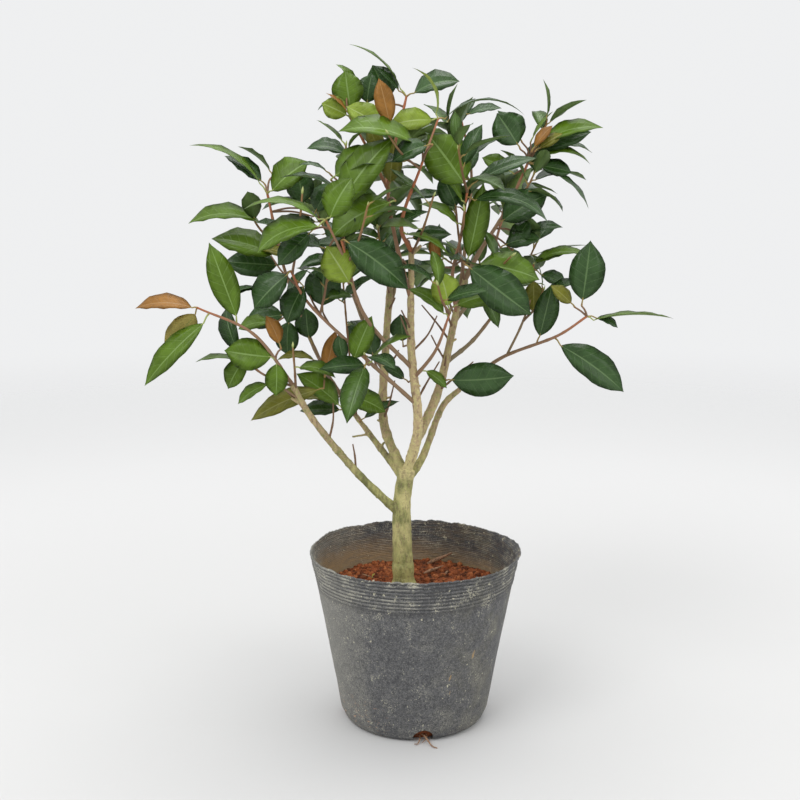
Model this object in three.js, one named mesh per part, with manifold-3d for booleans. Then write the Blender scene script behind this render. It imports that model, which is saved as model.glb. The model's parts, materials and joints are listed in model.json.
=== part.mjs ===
// A camellia shrub in its nursery pot. Millimetres, +Z up. The origin is the middle of the pot's
// flat underside, -Y is the front and +X is to the right.
import * as THREE from 'three';
import { mergeVertices } from 'three/addons/utils/BufferGeometryUtils.js';
import Module from 'manifold-3d';

const wasm = await Module();
wasm.setup();

// ---------------------------------------------------------------- driving dimensions

const GAP = 0.3; // clear space between neighbours that touch in the real plant
const SLIVER = 0.08; // edges and facets thinner than this are closed up
const SAME_POINT = 1e-4; // corners nearer than this are one corner

const POT = {
  height: 182,
  rimRadius: 110,
  footRadius: 77,
  footRound: 9, // radius of the rounded edge under the wall
  footSteps: 4, // facets of the rounded edge
  wall: 1.6,
  floor: 2,
  sides: 30, // the soil's too, so that their flats run side by side
  drainRadius: 11,
  drainDrop: 0.8, // how far a drain hole's middle lies under the underside
  drainReach: 26, // length of the bar that cuts a drain hole
  drainSides: 12,
  drainCount: 4,
  drainTurn: 6.5, // degrees from the front to the first drain hole
};

const SOIL = {
  level: 139, // at the wall
  crown: 141, // round the trunk
  crownRadius: 34,
};

const TRUNK = {
  foot: [-11, 0],
  bends: [[-13, 0, 192], [-13, 2, 235]],
  fork: [-8, 2, 268],
  footThick: 11.4, // radius above the flare
  forkThick: 8.6,
  sunk: 5, // how far below the level cut the curve starts
  flare: 5, // how much wider the foot is where the curve starts
  flareHeight: 9,
  sides: 12,
  steps: 8,
};

const LIMB_SIDES = 8;
const LIMB_STEP = 32; // length of one straight stretch of a limb
const LEAST_STEPS = 4; // of one limb
const LAST_FOOT = 0.999; // how far up its parent a limb may start, as a share

// One tapering limb a line: its parent and how far up the parent it starts (0 to 1), the points it
// bends through, its tip, and its radius at foot and tip. The main boughs come first.
const LIMBS = [
  ['bough_middle', 'trunk', 0.96, [[3, -12, 313], [-4, -22, 400]], [-4, -28, 496], 6.2, 3.2],
  ['bough_left_leader', 'trunk', 0.94, [[-32, 24, 311], [-31, 44, 381]], [-26, 60, 455], 5.4, 3.4],
  ['bough_right_leader', 'bough_middle', 0.17, [[24, 14, 347], [45, 30, 436]], [53, 34, 464], 5.2, 3.2],
  ['bough_low_left', 'trunk', 0.62, [[-61, -14, 270], [-107, -36, 335]], [-122, -45, 366], 4.6, 3],
  ['bough_left_back', 'trunk', 0.9, [[-28, 16, 277], [-42, 30, 292]], [-63, 45, 317], 4.2, 2.7],
  ['bough_low_right', 'trunk', 0.86, [[8, 22, 275], [32, 42, 330]], [49, 44, 346], 4.4, 3],
  ['shoot_left_riser', 'bough_left_back', 1, [[-96, 30, 372], [-132, 4, 474]], [-147, -10, 552], 2.5, 1.4],
  ['shoot_left_sprig', 'bough_low_left', 1, [[-157, -66, 419]], [-207, -84, 446], 2, 1.3],
  ['shoot_slant', 'bough_middle', 0.34, [[-62, -44, 404], [-108, -56, 453]], [-120, -60, 479], 2.3, 1.3],
  ['shoot_high_slant', 'bough_middle', 0.5, [[-50, -60, 437]], [-70, -84, 509], 2.4, 1.3],
  ['shoot_back_riser', 'bough_left_leader', 0.82, [[-18, 88, 480]], [-32, 110, 583], 2.3, 1.4],
  ['shoot_back_left', 'bough_left_leader', 0.55, [[-62, 92, 430]], [-92, 128, 510], 2.4, 1.4],
  ['shoot_top_left', 'bough_middle', 0.8, [[-20, -36, 510], [-27, -20, 560]], [-9, -6, 646], 2.3, 1.3],
  ['shoot_front', 'bough_middle', 0.46, [[20, -44, 400]], [33, -66, 440], 2, 1.2],
  ['shoot_right_fork', 'bough_right_leader', 0.5, [[62, 46, 398]], [91, 70, 430], 2.6, 1.6],
  ['shoot_right_riser', 'bough_right_leader', 1, [[66, 40, 489], [96, 48, 536]], [118, 50, 584], 2.6, 1.4],
  ['shoot_top_riser', 'bough_right_leader', 0.86, [[56, 56, 520], [60, 66, 577]], [47, 60, 635], 2.2, 1.3],
  ['shoot_bud_riser', 'bough_right_leader', 0.8, [[38, 0, 472], [45, -24, 511]], [50, -40, 556], 2.1, 1.3],
  ['shoot_back_right', 'bough_right_leader', 0.74, [[76, 84, 462]], [100, 124, 530], 2.4, 1.4],
  ['shoot_right_sprig', 'bough_low_right', 1, [[90, 30, 381], [148, 0, 410]], [174, -10, 430], 2.2, 1.4],
];

// One mass of leaves a line: its middle, its half sizes, its lean to the right in degrees and the seed
// of its lobes. The masses at the ends of the low sprigs are thin pads.
const MASSES = [
  ['mass_low_left_sprig', [-230, -84, 418], [38, 12, 50], 42, 11],
  ['mass_low_left_upright', [-184, -78, 462], [16, 10, 34], -10, 12],
  ['mass_left_lower_outer', [-168, -50, 379], [31, 26, 33], 6, 13],
  ['mass_left_lower_inner', [-114, -62, 386], [28, 28, 40], 0, 14],
  ['mass_left_middle', [-150, -32, 444], [34, 24, 34], 0, 15],
  ['mass_left_side', [-172, 0, 518], [50, 34, 34], 6, 16],
  ['mass_left_tip', [-164, -8, 574], [54, 32, 24], 18, 17],
  ['mass_left_inner', [-102, -62, 536], [36, 32, 32], 0, 18],
  ['mass_left_shoulder', [-72, -46, 584], [30, 30, 25], 10, 19],
  ['mass_left_heart', [-42, -106, 518], [28, 30, 48], -8, 20],
  ['mass_left_core', [-84, -58, 468], [20, 20, 32], 0, 21],
  ['mass_low_centre', [-51, -86, 388], [32, 26, 38], 16, 22],
  ['mass_top_left', [-54, -30, 638], [36, 32, 27], 0, 23],
  ['mass_top', [-8, 0, 664], [48, 26, 31], 12, 24],
  ['mass_top_front', [-20, -88, 592], [46, 34, 26], 0, 25],
  ['mass_centre', [43, -84, 576], [34, 36, 32], 0, 26],
  ['mass_centre_right', [48, -50, 520], [30, 26, 32], 0, 27],
  ['mass_right_core', [82, -92, 474], [44, 32, 30], 14, 28],
  ['mass_front_low', [20, -90, 454], [20, 22, 28], 0, 29],
  ['mass_top_right', [134, 50, 612], [60, 40, 28], 2, 30],
  ['mass_top_right_lower', [128, 44, 556], [54, 34, 32], 14, 31],
  ['mass_right_upper', [134, 58, 486], [44, 30, 26], 10, 32],
  ['mass_right_leaf', [178, 6, 468], [20, 12, 38], 8, 33],
  ['mass_right_inner', [138, 14, 436], [20, 24, 34], 0, 34],
  ['mass_right_sprig', [194, -24, 394], [58, 12, 30], 28, 35],
  ['mass_low_right_leaf', [66, -10, 376], [34, 10, 20], 0, 36],
  ['mass_back_left', [-106, 124, 520], [48, 44, 50], -10, 37],
  ['mass_back_middle', [-18, 146, 588], [52, 46, 50], 0, 38],
  ['mass_back_right', [100, 142, 532], [48, 44, 50], 12, 39],
  ['mass_back_low', [30, 152, 466], [42, 36, 34], 0, 40],
];
const FINENESS = 2; // how often the edges of a mass's twenty-sided start are split
const LOBES = 9; // bulges on one mass
const LOBE_REACH = 0.5; // how far the largest stands out of the core, as a share of the core
const LEAST_LOBE = 0.5; // the smallest lobe's reach, as a share of the largest's
const LOBE_FOCUS = 6; // higher is narrower

// ---------------------------------------------------------------- materials

const finish = (color, roughness, metalness = 0) =>
  new THREE.MeshStandardMaterial({ color, roughness, metalness });
const POT_PLASTIC = finish(0x45484c, 0.7);
const EARTH = finish(0x9c4a26, 0.95);
const OLD_BARK = finish(0x8d8264, 0.85);
const YOUNG_BARK = finish(0x93644a, 0.8);
const LEAVES = finish(0x3c6330, 0.45);

// ---------------------------------------------------------------- solids and geometry

const degrees = THREE.MathUtils.degToRad;

// A closed geometry as a solid that can be cut and joined.
function solidOf(geometry) {
  const bare = geometry.clone();
  bare.deleteAttribute('normal');
  bare.deleteAttribute('uv');
  const merged = mergeVertices(bare, SAME_POINT);
  return new wasm.Manifold(new wasm.Mesh({
    numProp: 3,
    vertProperties: new Float32Array(merged.attributes.position.array),
    triVerts: new Uint32Array(merged.index.array),
  }));
}

// A solid as geometry to draw, without the slivers that cuts leave.
function geometryOf(solid) {
  const mesh = solid.asOriginal().simplify(SLIVER).getMesh();
  const geometry = new THREE.BufferGeometry();
  geometry.setAttribute('position', new THREE.BufferAttribute(mesh.vertProperties, 3));
  geometry.setIndex(new THREE.BufferAttribute(mesh.triVerts, 1));
  geometry.computeVertexNormals();
  return geometry;
}

// A profile of [radius, height] pairs turned round the Z axis.
function turned(profile, sides) {
  const points = profile.map(([radius, height]) => new THREE.Vector2(radius, height));
  return solidOf(new THREE.LatheGeometry(points, sides).rotateX(Math.PI / 2));
}

// The largest piece of a solid that is left after others are cut out of it.
function cutBack(solid, cutters) {
  const cut = cutters.reduce((rest, cutter) => rest.subtract(cutter), solid);
  return cut.decompose().reduce((best, piece) => (piece.volume() > best.volume() ? piece : best));
}

// A seeded stream of numbers from 0 to 1, by the linear congruential rule.
function randomStream(seed) {
  const [spread, multiplier, increment, range] = [2654435761, 1664525, 1013904223, 2 ** 32];
  let state = seed * spread;
  return () => {
    state = (state * multiplier + increment) >>> 0;
    return state / range;
  };
}

// ---------------------------------------------------------------- pot and soil

const wallRadius = (height) => POT.footRadius + (POT.rimRadius - POT.footRadius) * (height / POT.height);

function potSolid() {
  const { height, rimRadius, footRadius, footRound, footSteps, wall, floor } = POT;
  const profile = [[0, 0]];
  for (let i = 0; i <= footSteps; i += 1) {
    const turn = (i / footSteps) * (Math.PI / 2);
    const radius = footRadius - footRound * (1 - Math.sin(turn));
    profile.push([radius, footRound * (1 - Math.cos(turn))]);
  }
  profile.push([rimRadius, height], [rimRadius - wall, height]);
  profile.push([wallRadius(footRound) - wall, footRound], [footRadius - footRound, floor], [0, floor]);
  let pot = turned(profile, POT.sides);
  for (let i = 0; i < POT.drainCount; i += 1) {
    pot = pot.subtract(drainHole(degrees(POT.drainTurn) + (i / POT.drainCount) * 2 * Math.PI));
  }
  return pot;
}

// The cutter of one drain hole: a round bar lying under the wall, across the edge of the floor.
function drainHole(turn) {
  const { drainRadius, drainReach, drainSides, drainDrop, footRadius } = POT;
  const cutter = new THREE.CylinderGeometry(drainRadius, drainRadius, drainReach, drainSides);
  cutter.translate(0, -footRadius, -drainDrop);
  return solidOf(cutter.rotateZ(turn));
}

function soilSolid() {
  const inner = (height) => wallRadius(height) - POT.wall - GAP;
  const bottom = POT.floor + GAP;
  const profile = [
    [0, bottom],
    [POT.footRadius - POT.footRound - GAP, bottom],
    [inner(POT.footRound) - GAP, POT.footRound + GAP],
    [inner(SOIL.level), SOIL.level],
    [SOIL.crownRadius, SOIL.crown],
    [0, SOIL.crown],
  ];
  return turned(profile, POT.sides);
}

// ---------------------------------------------------------------- trunk and limbs

// A round bar along a curve, its radius given at each share of the length. It is grown all round
// where it is used to cut its neighbours.
function bar(curve, radiusAt, sides, steps, grow = 0) {
  const geometry = new THREE.CylinderGeometry(1, 1, 1, sides, steps);
  const frames = curve.computeFrenetFrames(steps);
  const { position } = geometry.attributes;
  const place = new THREE.Vector3();
  for (let i = 0; i < position.count; i += 1) {
    const share = position.getY(i) + 0.5;
    const step = Math.round(share * steps);
    const radius = radiusAt(share) + grow;
    curve.getPointAt(share, place);
    place.addScaledVector(frames.normals[step], position.getX(i) * radius);
    place.addScaledVector(frames.binormals[step], -position.getZ(i) * radius);
    place.addScaledVector(frames.tangents[step], (share - 0.5) * 2 * grow);
    position.setXYZ(i, place.x, place.y, place.z);
  }
  return solidOf(geometry);
}

const smooth = (points) =>
  new THREE.CatmullRomCurve3(points.map((point) => new THREE.Vector3(...point)), false, 'centripetal');

// The trunk, from a level cut on the soil to its fork.
function makeTrunk() {
  const cut = SOIL.crown + GAP;
  const curve = smooth([[...TRUNK.foot, cut - TRUNK.sunk], ...TRUNK.bends, TRUNK.fork]);
  const length = curve.getLength();
  const radiusAt = (share) => THREE.MathUtils.lerp(TRUNK.footThick, TRUNK.forkThick, share)
    + TRUNK.flare * Math.exp((-share * length) / TRUNK.flareHeight);
  const shape = (grow) => bar(curve, radiusAt, TRUNK.sides, TRUNK.steps, grow);
  const block = 100; // far larger than the foot
  const ground = new THREE.BoxGeometry(block, block, block).translate(0, 0, cut - block / 2);
  return { curve, solid: shape(0).subtract(solidOf(ground)), grown: shape(GAP) };
}

// A limb starts on its parent's middle line and is cut back to a gap from what was made before it.
function makeLimb([, parentName, at, bends, tip, footThick, tipThick], made) {
  const parent = made.get(parentName);
  const foot = parent.curve.getPointAt(Math.min(at, LAST_FOOT));
  const curve = smooth([foot.toArray(), ...bends, tip]);
  const steps = Math.max(LEAST_STEPS, Math.round(curve.getLength() / LIMB_STEP));
  const radiusAt = (share) => THREE.MathUtils.lerp(footThick, tipThick, share);
  const whole = bar(curve, radiusAt, LIMB_SIDES, steps);
  const earlier = [...made.values()].map((limb) => limb.grown);
  const solid = cutBack(whole, earlier);
  return { curve, solid, grown: bar(curve, radiusAt, LIMB_SIDES, steps, GAP) };
}

// ---------------------------------------------------------------- masses of leaves

// A closed lump with seeded lobes, fitted to its half sizes, then leant over and put in place.
function makeMass([, middle, half, lean, seed], grow = 0) {
  const random = randomStream(seed);
  const lobes = Array.from({ length: LOBES }, () => ({
    way: new THREE.Vector3(random() - 0.5, random() - 0.5, random() - 0.5).normalize(),
    reach: LOBE_REACH * THREE.MathUtils.lerp(LEAST_LOBE, 1, random()),
  }));
  const geometry = new THREE.IcosahedronGeometry(1, FINENESS);
  const { position } = geometry.attributes;
  const way = new THREE.Vector3();
  for (let i = 0; i < position.count; i += 1) {
    way.fromBufferAttribute(position, i).normalize();
    const bulge = lobes.reduce((sum, lobe) =>
      Math.max(sum, lobe.reach * Math.max(0, way.dot(lobe.way)) ** LOBE_FOCUS), 0);
    way.multiplyScalar(1 + bulge);
    position.setXYZ(i, way.x, way.y, way.z);
  }
  geometry.center();
  geometry.computeBoundingBox();
  const size = geometry.boundingBox.getSize(new THREE.Vector3());
  const scale = half.map((value, axis) => (2 * (value + grow)) / size.getComponent(axis));
  geometry.scale(...scale).rotateY(degrees(lean)).translate(...middle);
  return solidOf(geometry);
}

// ---------------------------------------------------------------- the shrub

const shrub = new THREE.Group();

function add(name, solid, material) {
  const mesh = new THREE.Mesh(geometryOf(solid), material);
  mesh.name = name;
  shrub.add(mesh);
}

add('pot', potSolid(), POT_PLASTIC);
add('soil', soilSolid(), EARTH);

const wood = new Map([['trunk', makeTrunk()]]);
LIMBS.forEach((limb) => wood.set(limb[0], makeLimb(limb, wood)));
const grownMasses = MASSES.map((mass) => makeMass(mass, GAP));

wood.forEach(({ solid }, name) => {
  add(name, cutBack(solid, grownMasses), name.startsWith('shoot') ? YOUNG_BARK : OLD_BARK);
});
MASSES.forEach((mass, index) => {
  add(mass[0], cutBack(makeMass(mass), grownMasses.slice(0, index)), LEAVES);
});

export default shrub;
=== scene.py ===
"""A camellia shrub in its soft nursery pot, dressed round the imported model.

Sizes are in metres, in the frame's own axes: +Z up, -Y the front, +X to the right.
"""

import json
import logging
import math
import random
from collections.abc import Callable, Iterable, Sequence
from dataclasses import dataclass, field
from enum import Enum
from typing import Any

import bmesh
import bpy
from bpy.types import Material, Mesh, Node, NodeSocket, NodeTree, Object
from mathutils import Matrix, Vector, noise
from mathutils.kdtree import KDTree

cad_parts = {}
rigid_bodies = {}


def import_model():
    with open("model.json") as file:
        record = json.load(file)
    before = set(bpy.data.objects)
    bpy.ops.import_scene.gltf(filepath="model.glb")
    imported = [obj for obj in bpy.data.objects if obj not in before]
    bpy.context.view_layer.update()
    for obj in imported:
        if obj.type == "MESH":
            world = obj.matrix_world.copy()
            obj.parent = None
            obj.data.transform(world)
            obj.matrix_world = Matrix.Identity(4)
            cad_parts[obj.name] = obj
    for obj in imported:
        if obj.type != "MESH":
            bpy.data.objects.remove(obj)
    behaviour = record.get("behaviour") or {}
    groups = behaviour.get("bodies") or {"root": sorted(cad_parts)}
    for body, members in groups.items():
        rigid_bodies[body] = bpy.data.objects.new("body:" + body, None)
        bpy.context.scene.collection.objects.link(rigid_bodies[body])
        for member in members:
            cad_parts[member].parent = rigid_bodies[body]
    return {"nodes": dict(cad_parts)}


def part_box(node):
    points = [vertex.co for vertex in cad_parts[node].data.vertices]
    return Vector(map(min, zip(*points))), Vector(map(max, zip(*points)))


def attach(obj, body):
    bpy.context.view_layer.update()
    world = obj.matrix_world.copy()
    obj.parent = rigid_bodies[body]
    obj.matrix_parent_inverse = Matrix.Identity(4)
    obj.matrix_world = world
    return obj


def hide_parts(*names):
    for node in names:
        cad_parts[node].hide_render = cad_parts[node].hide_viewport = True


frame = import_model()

MM = 0.001
UP = Vector((0.0, 0.0, 1.0))
FRONT = Vector((0.0, -1.0, 0.0))
GOLDEN_TURN = math.radians(137.5)  # from one leaf of a twig to the next

log = logging.getLogger("camellia")


# ---- node trees


def operator(operation: str, reflected: bool = False) -> Callable[["Wire", Any], "Wire"]:
    """Makes one of a wire's operators.

    Args:
        operation: the Math node's operation.
        reflected: whether the wire is on the operator's right.

    Returns:
        The operator.
    """
    def apply(wire: "Wire", other: Any) -> "Wire":
        """Adds the node for the wire and the other value."""
        return wire.graph.maths(operation, *((other, wire) if reflected else (wire, other)))

    return apply


@dataclass(frozen=True, eq=False)
class Wire:
    """A socket of a node tree that is worked with like a number or a vector."""

    graph: "Graph"
    socket: NodeSocket
    is_vector: bool = False

    __add__, __radd__ = operator("ADD"), operator("ADD", reflected=True)
    __sub__, __rsub__ = operator("SUBTRACT"), operator("SUBTRACT", reflected=True)
    __mul__, __rmul__ = operator("MULTIPLY"), operator("MULTIPLY", reflected=True)
    __truediv__ = operator("DIVIDE")
    __pow__ = operator("POWER")
    __gt__ = operator("GREATER_THAN")
    __lt__ = operator("LESS_THAN")

    def sine(self) -> "Wire":
        """Its sine."""
        return self.graph.maths("SINE", self)

    def cosine(self) -> "Wire":
        """Its cosine."""
        return self.graph.maths("COSINE", self)

    def size(self) -> "Wire":
        """Its size without its sign."""
        return self.graph.maths("ABSOLUTE", self)

    def band(self, low: float, high: float) -> "Wire":
        """The value mapped from 0 at low to 1 at high with eased ends, where high may be the lower."""
        return self.graph.wire("ShaderNodeMapRange", {"interpolation_type": "SMOOTHSTEP"},
                               {"Value": self, "From Min": low, "From Max": high})


class Graph:
    """A node tree under construction."""

    def __init__(self, tree: NodeTree) -> None:
        """Starts from an empty tree."""
        self.tree = tree

    def feed(self, socket: NodeSocket, source: Any) -> None:
        """Gives an input a wire, a socket or a value.

        Args:
            socket: the input.
            source: what it is given; a colour may leave out its alpha.
        """
        source = source.socket if isinstance(source, Wire) else source
        if isinstance(source, NodeSocket):
            self.tree.links.new(source, socket)
        elif socket.type == "RGBA" and len(source) == 3:
            socket.default_value = (*source, 1.0)
        else:
            socket.default_value = source

    def node(self, kind: str, settings: dict[str, Any] | None = None,
             inputs: dict[str | int, Any] | None = None) -> Node:
        """Adds one node.

        Args:
            kind: the node's type.
            settings: its properties; "handles" are a float curve's (x, y) pairs.
            inputs: values, sockets or wires, by the input's name or number.

        Returns:
            The new node.
        """
        made = self.tree.nodes.new(kind)
        for name, value in (settings or {}).items():
            if name == "handles":
                points = made.mapping.curves[0].points
                while len(points) < len(value):
                    points.new(0.5, 0.5)
                for point, place in zip(points, value):
                    point.location = place
                made.mapping.update()
            else:
                setattr(made, name, value)
        for key, value in (inputs or {}).items():
            self.feed(made.inputs[key], value)
        return made

    def wire(self, kind: str, settings: dict[str, Any] | None = None,
             inputs: dict[str | int, Any] | None = None, output: str | int = 0,
             is_vector: bool = False) -> Wire:
        """Adds one node, as node does, and takes one of its outputs."""
        return Wire(self, self.node(kind, settings, inputs).outputs[output], is_vector)

    def maths(self, operation: str, first: Any, second: Any = 0.0, third: Any = 0.0) -> Wire:
        """Adds a Math node, or a Vector Math node where a vector comes in.

        Args:
            operation: the node's operation.
            first: a wire or a number.
            second: a wire or a number.
            third: a wire or a number.

        Returns:
            The result.
        """
        parts = (first, second, third)
        vectors = [isinstance(part, Wire) and part.is_vector for part in parts]
        if not any(vectors):
            return self.wire("ShaderNodeMath", {"operation": operation}, dict(enumerate(parts)))
        inputs = {0: first, 1: second}
        if operation == "MULTIPLY" and not all(vectors[:2]):
            operation = "SCALE"
            inputs = {0: first, "Scale": second} if vectors[0] else {0: second, "Scale": first}
        return self.wire("ShaderNodeVectorMath", {"operation": operation}, inputs, is_vector=True)

    def noise(self, place: Wire, scale: float, detail: float = 2.0, roughness: float = 0.5) -> Wire:
        """Cloudy noise, about 0.5 on average, with a scale in features a metre and detail in octaves."""
        return self.wire("ShaderNodeTexNoise", {}, {"Vector": place, "Scale": scale, "Detail": detail,
                                                    "Roughness": roughness})


class Paint(Graph):
    """A material under construction."""

    def __init__(self, name: str) -> None:
        """Starts a material with a Principled shader.

        Args:
            name: the material's name.
        """
        self.material = bpy.data.materials.new(name)
        self.material.use_nodes = True
        super().__init__(self.material.node_tree)
        self.shader = self.tree.nodes["Principled BSDF"]
        self.place = self.wire("ShaderNodeTexCoord", output="Object", is_vector=True)
        self.colour: Any = None

    def attribute(self, name: str) -> Wire:
        """A number that the mesh carries, by its name."""
        return self.wire("ShaderNodeAttribute", {"attribute_name": name}, output="Fac")

    def cloud(self, scale: float, detail: float = 2.0, roughness: float = 0.5) -> Wire:
        """Cloudy noise at the place on the object."""
        return self.noise(self.place, scale, detail, roughness)

    def grain(self, stretch: tuple, scale: float, detail: float, roughness: float) -> Wire:
        """Noise that is squeezed along the object's three axes."""
        place = self.wire("ShaderNodeMapping", {}, {"Vector": self.place, "Scale": stretch}, is_vector=True)
        return self.noise(place, scale, detail, roughness)

    def axis(self, number: int) -> Wire:
        """One coordinate of the place on the object, by its number."""
        return self.wire("ShaderNodeSeparateXYZ", {}, {0: self.place}, number)

    def mix(self, share: Any, first: Any, second: Any) -> Wire:
        """Mixes two colours, with this share of the second."""
        return self.wire("ShaderNodeMix", {"data_type": "RGBA"}, {"Factor": share, 6: first, 7: second}, 2)

    def coat(self, share: Any, colour: Any) -> None:
        """Covers this share of the base colour with another colour."""
        self.colour = self.mix(share, self.colour, colour)

    def bump(self, height: Wire, depth: float) -> Wire:
        """The normal of a relief that goes from 0 to 1, where 1 stands for the depth in metres."""
        return self.wire("ShaderNodeBump", {}, {"Height": height, "Distance": depth, "Strength": 1.0})

    def finish(self, roughness: Any, normal: Wire, **constants: float) -> Material:
        """Connects the shader.

        Args:
            roughness: a number or a wire.
            normal: the normal.
            constants: other inputs of the shader that are the same all over, by name with _ for spaces.

        Returns:
            The material.
        """
        looks = {"Base Color": self.colour, "Roughness": roughness, "Normal": normal}
        looks.update((name.replace("_", " "), value) for name, value in constants.items())
        for name, value in looks.items():
            self.feed(self.shader.inputs[name], value)
        return self.material


class Shaper(Graph):
    """A Geometry Nodes tree under construction."""

    SOCKETS = {int: "NodeSocketInt", float: "NodeSocketFloat", Material: "NodeSocketMaterial"}

    def __init__(self, name: str, sizes: dict[str, type]) -> None:
        """Starts a tree with named inputs.

        Args:
            name: the tree's name.
            sizes: each input's name and type.
        """
        super().__init__(bpy.data.node_groups.new(name, "GeometryNodeTree"))
        interface = self.tree.interface
        interface.new_socket("Geometry", in_out="INPUT", socket_type="NodeSocketGeometry")
        for label, kind in sizes.items():
            interface.new_socket(label, in_out="INPUT", socket_type=self.SOCKETS[kind])
        interface.new_socket("Geometry", in_out="OUTPUT", socket_type="NodeSocketGeometry")
        self.source = self.tree.nodes.new("NodeGroupInput")

    def size(self, label: str) -> Wire:
        """A named input of the tree."""
        return Wire(self, self.source.outputs[label])

    def read(self, name: str, is_vector: bool = False) -> Wire:
        """A named attribute, a number or a vector."""
        kind = "FLOAT_VECTOR" if is_vector else "FLOAT"
        return self.wire("GeometryNodeInputNamedAttribute", {"data_type": kind}, {"Name": name},
                         is_vector=is_vector)

    def store(self, geometry: Wire, name: str, value: Any) -> Wire:
        """The geometry with a number stored at each point, under a name."""
        return self.wire("GeometryNodeStoreNamedAttribute", {"data_type": "FLOAT", "domain": "POINT"},
                         {"Geometry": geometry, "Name": name, "Value": value})

    def position(self) -> Wire:
        """The place of each point."""
        return self.wire("GeometryNodeInputPosition", is_vector=True)

    def normal(self) -> Wire:
        """The surface's direction at each point."""
        return self.wire("GeometryNodeInputNormal", is_vector=True)

    def split(self, vector: Wire) -> tuple[Wire, Wire, Wire]:
        """A vector's three numbers."""
        made = self.node("ShaderNodeSeparateXYZ", {}, {0: vector})
        return tuple(Wire(self, output) for output in made.outputs)

    def vector(self, x: Any, y: Any, z: Any) -> Wire:
        """A vector from its three numbers."""
        return self.wire("ShaderNodeCombineXYZ", {}, {0: x, 1: y, 2: z}, is_vector=True)

    def moved(self, geometry: Wire, **places: Wire) -> Wire:
        """The geometry with its points moved to a Position, or by an Offset."""
        return self.wire("GeometryNodeSetPosition", {}, {"Geometry": geometry, **places})

    def realized(self, geometry: Wire) -> Wire:
        """The geometry with its instances made real."""
        return self.wire("GeometryNodeRealizeInstances", {}, {"Geometry": geometry})

    def painted(self, geometry: Wire, material: Wire, where: Any = True) -> Wire:
        """The geometry with a material on all of its faces or on some."""
        return self.wire("GeometryNodeSetMaterial", {}, {"Geometry": geometry, "Selection": where,
                                                         "Material": material})

    def smooth(self, geometry: Wire) -> Wire:
        """The geometry, shaded smoothly."""
        return self.wire("GeometryNodeSetShadeSmooth", {}, {"Geometry": geometry})

    def close(self, geometry: Wire) -> "Shaper":
        """Ends the tree with this geometry."""
        self.node("NodeGroupOutput", {}, {"Geometry": geometry})
        return self

    def dress(self, geometry: Wire) -> "Shaper":
        """Ends the tree with this geometry, smooth and real and in the tree's one finish."""
        return self.close(self.painted(self.realized(self.smooth(geometry)), self.size("Finish")))

    def run(self, source: Object, name: str, values: dict[str, Any]) -> Object:
        """Runs the tree on an object and keeps the result as a plain mesh.

        Args:
            source: the object that holds the starting geometry, which is used up.
            name: the new piece's name.
            values: the tree's inputs by name.

        Returns:
            The new piece.
        """
        modifier = source.modifiers.new(self.tree.name, "NODES")
        modifier.node_group = self.tree
        for item in self.tree.interface.items_tree:
            if item.item_type == "SOCKET" and item.in_out == "INPUT" and item.name in values:
                modifier[item.identifier] = values[item.name]
        return plain_copy(source, name)


# ---- meshes


def add_object(name: str, data: bpy.types.ID) -> Object:
    """Adds an object that shows a mesh, lamp or camera to the scene."""
    made = bpy.data.objects.new(name, data)
    bpy.context.collection.objects.link(made)
    return made


def plain_copy(source: Object, name: str) -> Object:
    """Turns an object with its modifiers into a plain mesh object.

    Args:
        source: the object, which is used up.
        name: the new object's name.

    Returns:
        The new object.
    """
    graph = bpy.context.evaluated_depsgraph_get()
    mesh = bpy.data.meshes.new_from_object(source.evaluated_get(graph), preserve_all_data_layers=True,
                                           depsgraph=graph)
    mesh.name = name
    bpy.data.objects.remove(source, do_unlink=True)
    return add_object(name, mesh)


def mark_points(mesh: Mesh, label: str, values: Sequence[Any]) -> None:
    """Stores an attribute on a mesh.

    Args:
        mesh: the mesh.
        label: the attribute's name.
        values: a number or a vector for each vertex.
    """
    if isinstance(values[0], Vector):
        attribute = mesh.attributes.new(label, "FLOAT_VECTOR", "POINT")
        attribute.data.foreach_set("vector", [part for value in values for part in value])
    else:
        attribute = mesh.attributes.new(label, "FLOAT", "POINT")
        attribute.data.foreach_set("value", [float(value) for value in values])


def mesh_object(name: str, points: Sequence[Sequence[float]], edges: Iterable[Sequence[int]] = (),
                faces: Iterable[Sequence[int]] = (),
                numbers: dict[str, Sequence[Any]] | None = None) -> Object:
    """Makes a mesh object from lists.

    Args:
        name: the object's name.
        points: the vertices.
        edges: the loose edges.
        faces: the faces.
        numbers: a number or a vector for each vertex, by attribute name.

    Returns:
        The object.
    """
    mesh = bpy.data.meshes.new(name)
    mesh.from_pydata([tuple(point) for point in points], list(edges), list(faces))
    for label, values in (numbers or {}).items():
        mark_points(mesh, label, values)
    return add_object(name, mesh)


def join(name: str, pieces: Sequence[Object]) -> Object:
    """Joins mesh objects into one.

    Args:
        name: the joined piece's name.
        pieces: the objects, which are used up.

    Returns:
        The joined piece.
    """
    if len(pieces) > 1:
        with bpy.context.temp_override(active_object=pieces[0], selected_editable_objects=list(pieces)):
            bpy.ops.object.join()
    pieces[0].name = name
    pieces[0].data.name = name
    return pieces[0]


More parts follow.
